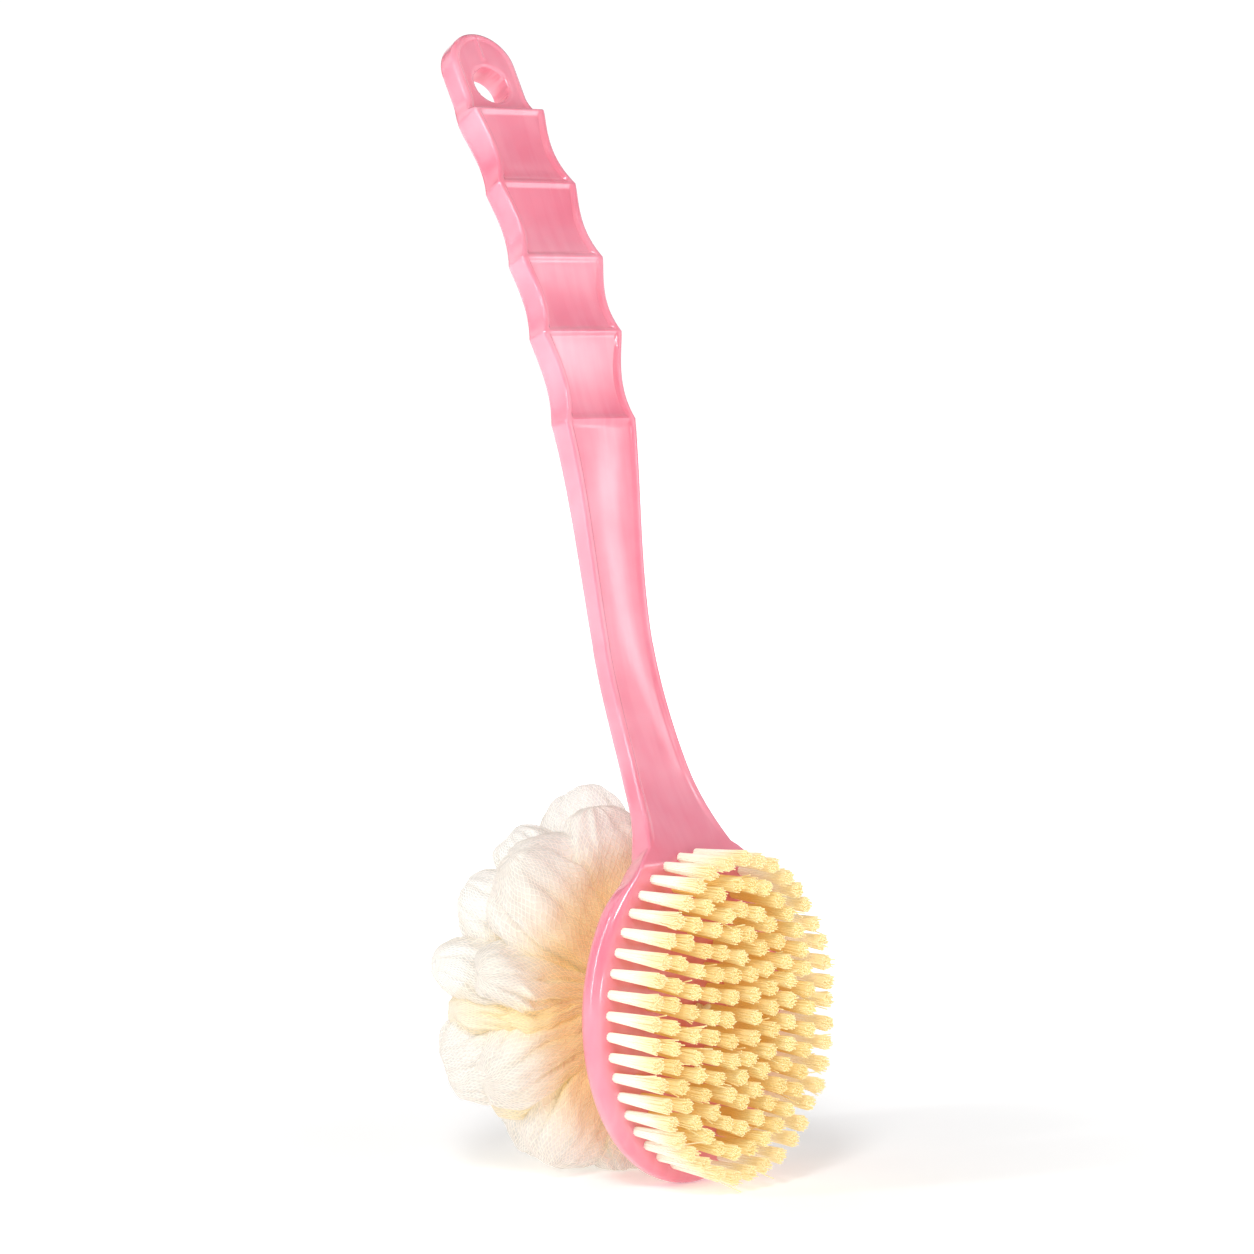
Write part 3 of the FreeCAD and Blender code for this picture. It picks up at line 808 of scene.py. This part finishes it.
copies = tree.keep(tree.keep(tree.keep(copies, "root", root), "tip", tip), "fray", fray)

# %% A line for each filament, bent between its root and its tip, and given its thickness
OPENING, FRAY_FROM_TIP, SLIMMING = 1.15, 4.0, -0.25
line = tree.node("GeometryNodeCurvePrimitiveLine", {}, {"End": (0.0, -1.0, 0.0)})
line = tree.node("GeometryNodeResampleCurve", {}, {"Curve": line, "Count": 4})
threads = tree.node("GeometryNodeRealizeInstances", {}, {
    "Geometry": tree.node("GeometryNodeInstanceOnPoints", {}, {"Points": copies, "Instance": line})})
share = tree.node("GeometryNodeSplineParameter")
straight = tree.node("ShaderNodeMix", {"data_type": "VECTOR", "factor_mode": "UNIFORM"}, {
    0: tree.sum("POWER", share, OPENING), 4: tree.kept("root"), 5: tree.kept("tip")}, 1)
threads = tree.moved(threads, tree.added(
    straight, tree.scaled(tree.kept("fray"), tree.sum("POWER", share, FRAY_FROM_TIP))))
threads = tree.keep(threads, "share", share, "FLOAT")
threads = tree.node("GeometryNodeSetCurveRadius", {}, {
    "Curve": threads, "Radius": tree.sum("MULTIPLY_ADD", share, SLIMMING, 1.0)})
profile = tree.node("GeometryNodeCurvePrimitiveCircle", {}, {
    "Resolution": 4, "Radius": given("Filament Radius")})
mesh = tree.node("GeometryNodeCurveToMesh", {}, {
    "Curve": threads, "Profile Curve": profile, "Fill Caps": True})
mesh = tree.node("GeometryNodeRealizeInstances", {}, {"Geometry": mesh})
mesh = tree.node("GeometryNodeSetMaterial", {}, {"Geometry": mesh, "Material": given("Nylon")})
tree.node("NodeGroupOutput", {}, {"Geometry": mesh})
print(f"the tuft tree has {len(tree.tree.nodes)} nodes")

# %% [markdown]
# ## Nylon
#
# The filaments are cream nylon. They are slightly see-through, so a bundle looks pale where light falls
# on its side and golden where light has to find its way in between the others. Here both are painted: the
# outer ring's nylon is a paler, lit copy, and the inner rings' is a golden painted shade, deepest towards
# the roots and paler at the tips. Two stored values drive the colour: each point's share of the way to the
# tip, and a tone that every tuft draws at random. True scattering inside thousands of filaments would be
# slow, so a faint glow stands for it.

# %% Nylon and the five rings
def nylon(name, side, tips, uneven):
    paint = Paint(name)
    share, tone = paint.stored("share"), paint.stored("tone")
    # The side colour fills the root half and fades into the tip colour. On the inner rings that darker side is
    # painted shade between the tufts.
    shade = paint.blend(share.between(0.45, 1.0), side, tips)
    shade = paint.blend(tone * uneven, shade, colour(246, 214, 140))
    return paint.finish(Base_Color=shade, Roughness=0.42, Specular_IOR_Level=0.35,
                        Emission_Color=shade, Emission_Strength=0.16)


# Lit and shaded copies of one nylon: painted light on the outer ring, painted shade on the inner rings.
lit_outer_nylon = nylon("pale_nylon", colour(255, 250, 236), colour(255, 240, 196), 0.12)
shaded_inner_nylon = nylon("golden_nylon", colour(240, 202, 114), colour(255, 242, 192), 0.4)
RING_MARGIN, INNER_RING, TUFT_PITCH = 5.6, 9.8, 6.4
TUFT = {"Face": FACE + 0.6 * MM, "Middle": MIDDLE, "Filaments": 84, "Root Radius": 1.3 * MM,
        "Reach": 22.4 * MM, "Filament Radius": 0.2 * MM, "Fray": 0.3 * MM}
ring_step = (HEAD_WIDE_MM - RING_MARGIN - INNER_RING / 2) / (RINGS - 1)
for index in range(RINGS):
    inward = RING_MARGIN + index * ring_step
    tall, wide = HEAD_TALL_MM - inward, HEAD_WIDE_MM - inward
    around = math.pi * (3 * (tall + wide) - math.sqrt((3 * tall + wide) * (tall + 3 * wide)))
    tufts = round(around / TUFT_PITCH)
    ring = tree.run(f"bristles_{index + 1}", {
        **TUFT, "Half Width": wide * MM, "Half Height": tall * MM, "Tufts": tufts, "Shift": 0.5 * (index % 2),
        "Tip Radius": (2.25 if index else 2.3) * MM, "Seed": 11 + index,
        "Nylon": shaded_inner_nylon if index else lit_outer_nylon})
    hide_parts(f"tuft_ring_{index + 1}")
    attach(ring, "brush")
    print(f"ring {index + 1}: {tufts} tufts, {len(ring.data.polygons)} faces")

# %% [markdown]
# ## The anchors
#
# A tuft's anchor is a small flat piece of nickelled metal, pressed into the bottom of its hole, and nothing
# of it shows. It could be modelled again with its stamped edges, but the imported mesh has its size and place,
# so it only gets a metal with fine drawn lines.

# %% The anchors' metal
paint = Paint("nickel_wire")
grain = paint.noise(paint.stretch(paint.place(), (900.0, 900.0, 9000.0)), 1.0)
steel = paint.finish(
    Base_Color=paint.blend(grain, colour(178, 176, 170), colour(206, 204, 198)), Metallic=1.0,
    Roughness=grain.between(0.3, 0.7, 0.25, 0.4))
for index in range(RINGS):
    anchors = frame["nodes"][f"anchor_ring_{index + 1}"]
    anchors.data.materials.clear()
    anchors.data.materials.append(steel)

# %% [markdown]
# ## The netting pouf
#
# The pouf is three lengths of soft tubular netting. Each is folded to and fro into loops, and one cord
# pulls all the folds together at the middle, so that the loops spring out as rounded lobes. Every lobe is
# a flattened tube: narrow and pleated where the cord grips it, and puffed up at its end.
#
# Cloth simulation is the usual way to such folds, but it would have to run the whole tying process. A lobe
# does follow a rule, though: a width and a thickness that change along its length, with pleats that fade
# out from the tie and soft dents from handling. So each lobe is a short formula, a list says which
# way the lobes point, and three joined meshes stand for the three lengths. The lobes pass through each
# other, where a real pouf's folds press together.

# %% The shape that the lobes fill
AXIS_Z = HEAD_TALL_MM
BALL_MIDDLE, BALL_RADIUS, BALL_DEPTH = 43.5, 59.0, 38.0
TIE_DEPTH = (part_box("netting_core")[0].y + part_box("netting_core")[1].y) / 2 / MM - FACE / MM
GAP = 0.5


def ball_reach(direction):
    """How far it is from the tie to the pouf's outside in a direction."""
    dx, dy, dz = direction
    y0 = TIE_DEPTH - BALL_MIDDLE
    a = (dx * dx + dz * dz) / BALL_RADIUS**2 + dy * dy / BALL_DEPTH**2
    b = 2 * y0 * dy / BALL_DEPTH**2
    c = y0 * y0 / BALL_DEPTH**2 - 1
    return (-b + math.sqrt(b * b - 4 * a * c)) / (2 * a)


def brush_back(radius):
    """The back of the head and the neck, at a distance from the axis that the pouf turns on."""
    height = AXIS_Z + radius
    if height <= ROOT - 6:
        return PLATE
    setback, slope = front_line(max(height, ROOT))
    neck = setback + (8.0 + neck_web(height)) * math.sqrt(1 + slope * slope)
    return PLATE + max(neck - PLATE, 4.5) * smoothstep(ROOT - 10, ROOT, height)


def soft_floor(value, low, melt):
    """The value kept above a limit, easing into it."""
    over = (value - low) / melt
    return low + melt * (over + math.log1p(math.exp(-over)) if over > 0 else math.log1p(math.exp(over)))


def kept_clear(x, y, z):
    """Move a point of netting behind the brush and onto the floor, wherever it would go through them."""
    y = soft_floor(y, brush_back(math.hypot(x, z - AXIS_Z)) + GAP, 1.1)
    return x, y, soft_floor(z, 0.15, 0.9)


# %% Smooth noise for the dents
def value_noise(seed):
    """A smooth random function of three numbers, from -1 to 1."""
    table = np.random.default_rng(seed).uniform(-1, 1, (16, 16, 16))

    def at(p):
        low = np.floor(p).astype(int)
        share = p - low
        share = share * share * (3 - 2 * share)
        total = 0.0
        for corner in np.ndindex(2, 2, 2):
            weight = np.prod(np.where(np.array(corner) == 1, share, 1 - share), axis=-1)
            i, j, k = ((low + np.array(corner)) % 16).transpose()
            total = total + weight * table[i, j, k].T
        return total

    return at


dents = value_noise(5)


# %% One lobe
AROUND, ALONG = 72, 46
TIED_WIDE, TIED_THICK, SHOULDER = 2.0, 1.6, 0.66
PLEAT_DEPTH, CREASE_DEPTH = 0.13, 0.3
CRUMPLE, CRUMPLE_SIZE, FINE, FINE_SIZE = 2.3, 13.0, 0.8, 5.0
TIE_SPOT = (0.0, TIE_DEPTH, AXIS_Z)


def lobe(turn, tilt, wide, thick, roll=0.0, reach=1.0, number=0):
    """One folded loop of netting: its rows of points, its length, and about how far it is round.

    turn is its direction round the axis, from the top and clockwise from the front; tilt is how far it
    leans back. wide and thick are its largest half sizes, and roll turns it about its own length.
    """
    turn, tilt, roll = math.radians(turn), math.radians(tilt), math.radians(roll)
    ahead = np.array((math.sin(turn) * math.cos(tilt), math.sin(tilt), math.cos(turn) * math.cos(tilt)))
    across = np.cross(ahead, (0.0, 1.0, 0.0) if abs(ahead[1]) < 0.9 else (0.0, 0.0, 1.0))
    across /= np.linalg.norm(across)
    flat = np.cross(across, ahead)
    across, flat = (across * math.cos(roll) + flat * math.sin(roll),
                    flat * math.cos(roll) - across * math.sin(roll))
    length = ball_reach(ahead) * reach
    rng = np.random.default_rng(100 + number)
    phase, pleats, creases = rng.uniform(0, 2 * math.pi), int(rng.integers(11, 15)), int(rng.integers(6, 10))
    v = (1 - np.cos(np.linspace(0.06, 1, ALONG) * math.pi)) / 2
    v = np.linspace(0.04, 1, ALONG) * 0.55 + v * 0.45
    u = np.linspace(0, 2 * math.pi, AROUND, endpoint=False)
    V, U = np.meshgrid(v, u, indexing="ij")

    # The outline: narrow at the tie, swelling to the shoulder, and closing round at the end.
    swell = np.clip(V / SHOULDER, 0, 1) ** 0.85
    close = np.sqrt(np.clip(1 - np.clip((V - SHOULDER) / 0.345, 0, 1) ** 2.4, 0, 1))
    half_wide = TIED_WIDE + (wide - TIED_WIDE) * swell * close
    half_thick = TIED_THICK + (thick - TIED_THICK) * np.clip(V / 0.74, 0, 1) ** 1.25 * close

    # Pleats that fade out from the tie, a few long creases, and a ripple that grows towards the end.
    pleat = np.cos(pleats * U + phase + 1.6 * np.sin(2.3 * V + phase)) * (1 - V) ** 1.3
    pleat += 0.5 * np.cos((2 * pleats + 3) * U - phase + 3.0 * V) * (1 - V) ** 0.9
    fold_line = np.abs(np.cos(creases * U / 2 + phase + 0.8 * np.sin(4.0 * V + phase)))
    crease = -np.clip(1 - fold_line * 1.9, 0, 1) ** 1.3 * np.clip(V * 3, 0, 1) * (1 - 0.5 * V)
    size = 1 + PLEAT_DEPTH * pleat + CREASE_DEPTH * crease
    ripple = (0.6 * np.sin(3 * U + 5.0 * V + phase) + 0.5 * np.sin(13 * U + 4.0 * V)) * V**1.5
    a, b = half_wide * size * np.cos(U), (half_thick * size + ripple) * np.sin(U)
    points = (length * V)[..., None] * ahead + a[..., None] * across + b[..., None] * flat
    points += np.array(TIE_SPOT)

    # Dents from handling, large and small.
    crumple = np.stack([dents(points / CRUMPLE_SIZE + 7 * k + number * 3.1) for k in range(3)], -1)
    fine = np.stack([dents(points / FINE_SIZE + 11 * k + number * 1.7) for k in range(3)], -1)
    points += (CRUMPLE * crumple + FINE * fine) * np.clip(V * 1.6, 0, 1)[..., None]
    return points, length, 2.6 * (wide + thick)


# %% One length of netting
DEEP_REACH = 60.0


def netting(name, specs, first):
    """One length of netting: its lobes as one mesh, with a weave map in centimetres."""
    vertices, faces, weave, depth = [], [], [], []
    for k, spec in enumerate(specs):
        # A fold's inner share lowers its stored depth, so that it takes more painted shade, as a fold set back
        # between the others.
        inner = spec.pop("inner", 1.0)
        points, length, around = lobe(number=first + k, **spec)
        points = points.reshape(-1, 3)
        start = len(vertices)
        vertices += [kept_clear(*p) for p in points]
        depth += [inner * min(math.dist(p, TIE_SPOT) / DEEP_REACH, 1.2) for p in points]
        for i in range(ALONG - 1):
            for j in range(AROUND):
                right = (j + 1) % AROUND
                row, above = start + i * AROUND, start + (i + 1) * AROUND
                faces.append((row + j, row + right, above + right, above + j))
                weave += [(around * a / AROUND, length * b / ALONG) for a, b in (
                    (j, i), (j + 1, i), (j + 1, i + 1), (j, i + 1))]
        for row, place in ((0, 0.0), (ALONG - 1, length)):
            ring = [start + row * AROUND + j for j in range(AROUND)]
            centre = len(vertices)
            vertices.append(tuple(np.mean([vertices[i] for i in ring], axis=0)))
            depth.append(depth[ring[0]])
            for j in range(AROUND):
                pair = (ring[j], ring[(j + 1) % AROUND])
                faces.append((*pair, centre) if row else (*pair[::-1], centre))
                ends = (around * j / AROUND, around * (j + 1) / AROUND)
                weave += [(e, place) for e in (ends if row else ends[::-1])] + [(sum(ends) / 2, place)]
    piece = new_piece(name, [(x * MM, FACE + y * MM, z * MM) for x, y, z in vertices], faces)
    piece.data.uv_layers.new(name="weave").data.foreach_set("uv", np.array(weave).ravel() / 10)
    piece.data.attributes.new("depth", "FLOAT", "POINT").data.foreach_set("value", depth)
    outward(piece.data)
    return piece


up, back = ball_reach((0, 0, 1)), ball_reach((0, 1, 0))
print(f"the pouf reaches {up:.1f} mm up and {back:.1f} mm back from its tie")

# %% [markdown]
# ## The netting's finish
#
# Bath netting is a knitted grid of thin threads with holes between them. Real holes would take millions of
# faces. So each lobe carries a map in centimetres, on which two sets of slanting lines cross as threads,
# and the surface is more see-through between them. A depth that is stored with each point makes the folds
# warm and solid near the tie, and pale and thin at their ends. The warm yellow and the darker threads there
# are painted shade, deepest near the tie and in the few folds set back between the others. A faint glow,
# warmer near the tie, is painted light and stands for the light that passes from fold to fold.

# %% The netting's finish
paint = Paint("bath_netting")
THREAD_PITCH_CM, THREAD_SLANT = 0.13, 0.45
across = paint.node("ShaderNodeSeparateXYZ", {}, {0: paint.node("ShaderNodeUVMap", {"uv_map": "weave"})})
along = across.part(1)
sway = (paint.noise(paint.place(), 90.0, 2.0) - 0.5) * 0.35
lines = [paint.sum("ABSOLUTE", paint.sum("SINE", (slanted + sway) * (math.pi / THREAD_PITCH_CM)))
         for slanted in (across + along * THREAD_SLANT, across - along * THREAD_SLANT)]
thread = 1 - paint.sum("MINIMUM", *lines).between(0.16, 0.5)
shade_depth = paint.stored("depth")
# Painted shade: warm yellow netting and darker threads where the stored depth is low, near the tie and in the
# folds set back.
base = paint.blend(shade_depth.between(0.5, 0.93), colour(252, 230, 170), colour(253, 250, 245))
base = paint.blend(thread * shade_depth.between(0.6, 1.05, 0.32, 0.16), base, colour(222, 186, 132))
glow = paint.blend(shade_depth.between(0.55, 0.95), (0.17, 0.137, 0.075, 1.0), (0.07, 0.068, 0.062, 1.0))
netting_finish = paint.finish(
    Base_Color=base, Roughness=0.5, Specular_IOR_Level=0.3,
    Alpha=thread * 0.35 + shade_depth.between(0.8, 1.08, 0.62, 0.4), Emission_Color=glow, Emission_Strength=1.0,
    Normal=paint.bump(thread, 0.0003, 0.5))


# %% [markdown]
# ## Three lengths of netting
#
# A pouf is tied from several lengths of netting. Which way each fold springs out is chance, so the folds are
# listed: a front ring, a middle ring and a rear tuft, placed so that those on the left look like the
# real one's. Random directions would need no list, but would leave gaps or bury the narrow folds.

# %% The folds, listed by their directions in degrees and their half sizes in millimetres
def fold(turn, tilt, wide, thick, **more):
    return {"turn": turn, "tilt": tilt, "wide": wide, "thick": thick, **more}


# inner, below 1, gives a fold more of the netting's painted shade, for the folds set back between the others.
LENGTHS = {
    "netting_front": [
        fold(-8, 12, 17, 9, reach=1.04), fold(-41, 13, 22, 13, roll=-8, reach=1.03),
        fold(-77, 9, 10, 14, roll=10, reach=0.99), fold(-93, 9, 6, 12, reach=0.86, inner=0.8),
        fold(-111, 9, 14, 14, roll=-8, reach=1.0),
        fold(-150, 10, 19, 11, roll=10, reach=0.97), fold(178, 8, 18, 10, reach=0.98),
        fold(140, 8, 20, 11, roll=-15), fold(101, 9, 17, 12, roll=12), fold(64, 8, 19, 12, roll=-14),
        fold(28, 9, 18, 10, roll=18)],
    "netting_middle": [
        fold(1, 30, 15, 19, roll=5, reach=1.14), fold(-25, 34, 14, 17, roll=8, reach=1.06),
        fold(-50, 36, 15, 18, roll=-5, reach=1.05),
        fold(-78, 30, 11, 24, roll=6, reach=1.04), fold(-92, 29, 8, 23, roll=0, reach=0.95, inner=0.78),
        fold(-110, 29, 15, 23, roll=-4, reach=1.03), fold(-130, 26, 8, 20, reach=0.9, inner=0.8),
        fold(-155, 26, 17, 19, roll=6, reach=0.97),
        fold(178, 31, 15, 20, roll=-5, reach=1.0), fold(149, 29, 15, 22, roll=5, reach=1.04),
        fold(120, 33, 13, 22, roll=-6, reach=1.0), fold(93, 29, 15, 23, roll=5, reach=1.05),
        fold(64, 32, 14, 21, roll=-5, reach=1.02), fold(35, 30, 15, 22, roll=7, reach=1.05)],
    "netting_rear": [
        fold(-30, 58, 19, 14, roll=-20), fold(-82, 62, 17, 16, roll=70), fold(-128, 58, 19, 14, roll=-60),
        fold(178, 60, 20, 14, roll=20), fold(120, 58, 20, 15, roll=-70), fold(70, 60, 19, 14, roll=60),
        fold(22, 60, 18, 14, roll=-30), fold(-60, 84, 16, 11, roll=10), fold(120, 82, 15, 11, roll=-40)],
}

# %% Three lengths of netting
# The printed area is the netting that these folds need, in square centimetres. How much netting a real pouf
# holds doesn't show.
first = 0
for node, specs in LENGTHS.items():
    piece = netting(node.replace("netting", "net"), specs, first)
    first += len(specs)
    piece.data.materials.append(netting_finish)
    area = sum(face.area for face in piece.data.polygons)
    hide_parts(node)
    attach(piece, "pouf")
    print(f"{node}: {len(specs)} lobes, {len(piece.data.polygons)} faces, {area * 1e4:.0f} square cm")

# %% [markdown]
# ## The tie: gathered waist, cord and knot
#
# The tie is a soft twisted cord. It loops round the netting's gathered middle, passes through the small
# hole in the head, and ends in a knot. A curve with a round bevel would be the quickest cord, but it would
# be smooth, and the twist is what says cord. So a rounded three-strand outline is carried along a path and
# turned as it goes. The knot is the same cord wound over itself.

# %% A twisted cord along a path
def twisted_cord(path, radius, turn_length, around=24):
    """The points and faces of a three-strand cord along a list of points in metres, closed at both ends."""
    path = [Vector(p) for p in path]
    rows, travelled = [], 0.0
    side = (path[1] - path[0]).orthogonal().normalized()
    for i, point in enumerate(path):
        ahead = (path[min(i + 1, len(path) - 1)] - path[max(i - 1, 0)]).normalized()
        side = (side - side.dot(ahead) * ahead).normalized()
        up = ahead.cross(side)
        travelled += (point - path[i - 1]).length if i else 0.0
        spin = 2 * math.pi * travelled / turn_length
        row = []
        for j in range(around):
            angle = 2 * math.pi * j / around
            strand = radius * (0.8 + 0.2 * abs(math.cos(1.5 * (angle - spin))))
            row.append(point + strand * (math.cos(angle) * side + math.sin(angle) * up))
        rows.append(row)
    return skinned(rows, (path[0], path[-1]))


# %% [markdown]
# ## Cotton and gathered netting
#
# The cord is matt cotton, and the waist is netting pressed so tight that only yarns show. Both hide behind
# the head, so one fine noise for the fibres is enough for each. A second layer of threads, as on the lobes,
# would be lost at this size.

# %% The two finishes
def fibres(name, scale, detail, depth, dark, pale, roughness, height, strength):
    """A matt finish with fine fibres between two colours."""
    paint = Paint(name)
    yarns = (paint.noise(paint.place(), scale, detail) - 0.5) * depth + 0.5
    return paint.finish(Base_Color=paint.blend(yarns, colour(*dark), colour(*pale)), Roughness=roughness,
                        Normal=paint.bump(yarns, height, strength))


cord_finish = fibres("twisted_cotton", 2600.0, 2.0, 0.6, (240, 224, 190), (252, 244, 224),
                     roughness=0.8, height=0.0002, strength=0.5)
waist_finish = fibres("gathered_netting", 1800.0, 3.0, 0.8, (240, 214, 150), (250, 236, 196),
                      roughness=0.7, height=0.0004, strength=0.6)


# %% The cord and its knot
def middle_of(node):
    """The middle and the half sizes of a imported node's box."""
    low, high = (Vector(corner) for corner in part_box(node))
    return (low + high) / 2, (high - low) / 2


CORD_GAP, PATH_STEPS, LEG_TWIST, LOOP_TWIST, KNOT_TWIST = 0.3, 60, 7.0, 5.0, 3.5
KNOT_STEPS, KNOT_CORD, KNOT_OPEN = 180, 0.36, 0.985
core_middle, core_half = middle_of("netting_core")
cord_middle, cord_half = middle_of("tie_cord")
leg_radius, loop_radius = cord_half.z, (cord_half.x - core_half.x - CORD_GAP * MM) / 2
loop_turn = cord_half.x - loop_radius
leg_start, leg_end = cord_middle.y - cord_half.y, core_middle.y - loop_turn
leg_path = [Vector((0, leg_start + (leg_end - leg_start) * i / PATH_STEPS, core_middle.z))
            for i in range(PATH_STEPS + 1)]
turns = [math.pi * i / PATH_STEPS for i in range(2 * PATH_STEPS + 1)]
loop_path = [core_middle + loop_turn * Vector((math.sin(turn), -math.cos(turn), 0)) for turn in turns]
cord = closed_piece("cord", twisted_cord(leg_path, leg_radius, LEG_TWIST * MM),
                    twisted_cord(loop_path, loop_radius, LOOP_TWIST * MM))

knot_middle, knot_half = middle_of("tie_knot")
knot_cord = KNOT_CORD * min(knot_half)
room = knot_half - Vector((knot_cord,) * 3)
knot_path = []
for i in range(KNOT_STEPS + 1):
    t = 2 * math.pi * i / KNOT_STEPS * KNOT_OPEN
    knot_path.append(knot_middle + Vector((
        (math.sin(t) + 2 * math.sin(2 * t)) * room.x / 3.0, 0.9 * math.sin(3 * t) * room.y,
        (math.cos(t) - 2 * math.cos(2 * t)) * room.z / 3.0)))
knot = closed_piece("knot", twisted_cord(knot_path, knot_cord, KNOT_TWIST * MM, around=18))

# %% The gathered waist
WAIST_ROWS, WAIST_AROUND, DEEP_PLEAT, FINE_PLEAT, SQUEEZE = 60, 96, 0.09, 0.04, 0.1
rows = []
for i in range(WAIST_ROWS + 1):
    along = 2 * i / WAIST_ROWS - 1
    rows.append([])
    for j in range(WAIST_AROUND):
        angle = 2 * math.pi * j / WAIST_AROUND
        pleat = 1 - DEEP_PLEAT * (1 + math.cos(15 * angle + 2.5 * along)) / 2
        pleat -= FINE_PLEAT * (1 + math.cos(31 * angle)) / 2
        squeeze = 1 - SQUEEZE * math.exp(-((along * 9) ** 2))
        radius = core_half.x * pleat * squeeze * math.sqrt(max(1 - 0.94 * abs(along) ** 16, 0.0))
        rows[-1].append(core_middle + Vector((
            radius * math.cos(angle), radius * math.sin(angle), core_half.z * along)))
tall = Vector((0, 0, core_half.z))
waist = closed_piece("net_waist", skinned(rows, (core_middle - tall, core_middle + tall)))

for piece, node, kind, finish in (
        (cord, "tie_cord", "cord", cord_finish), (knot, "tie_knot", "cord", cord_finish),
        (waist, "netting_core", "netting", waist_finish)):
    piece.data.materials.append(finish)
    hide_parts(node)
    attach(piece, "pouf")
    print(f"{node}: {len(piece.data.polygons)} faces, box {[round(s / MM, 1) for s in piece.dimensions]} mm")
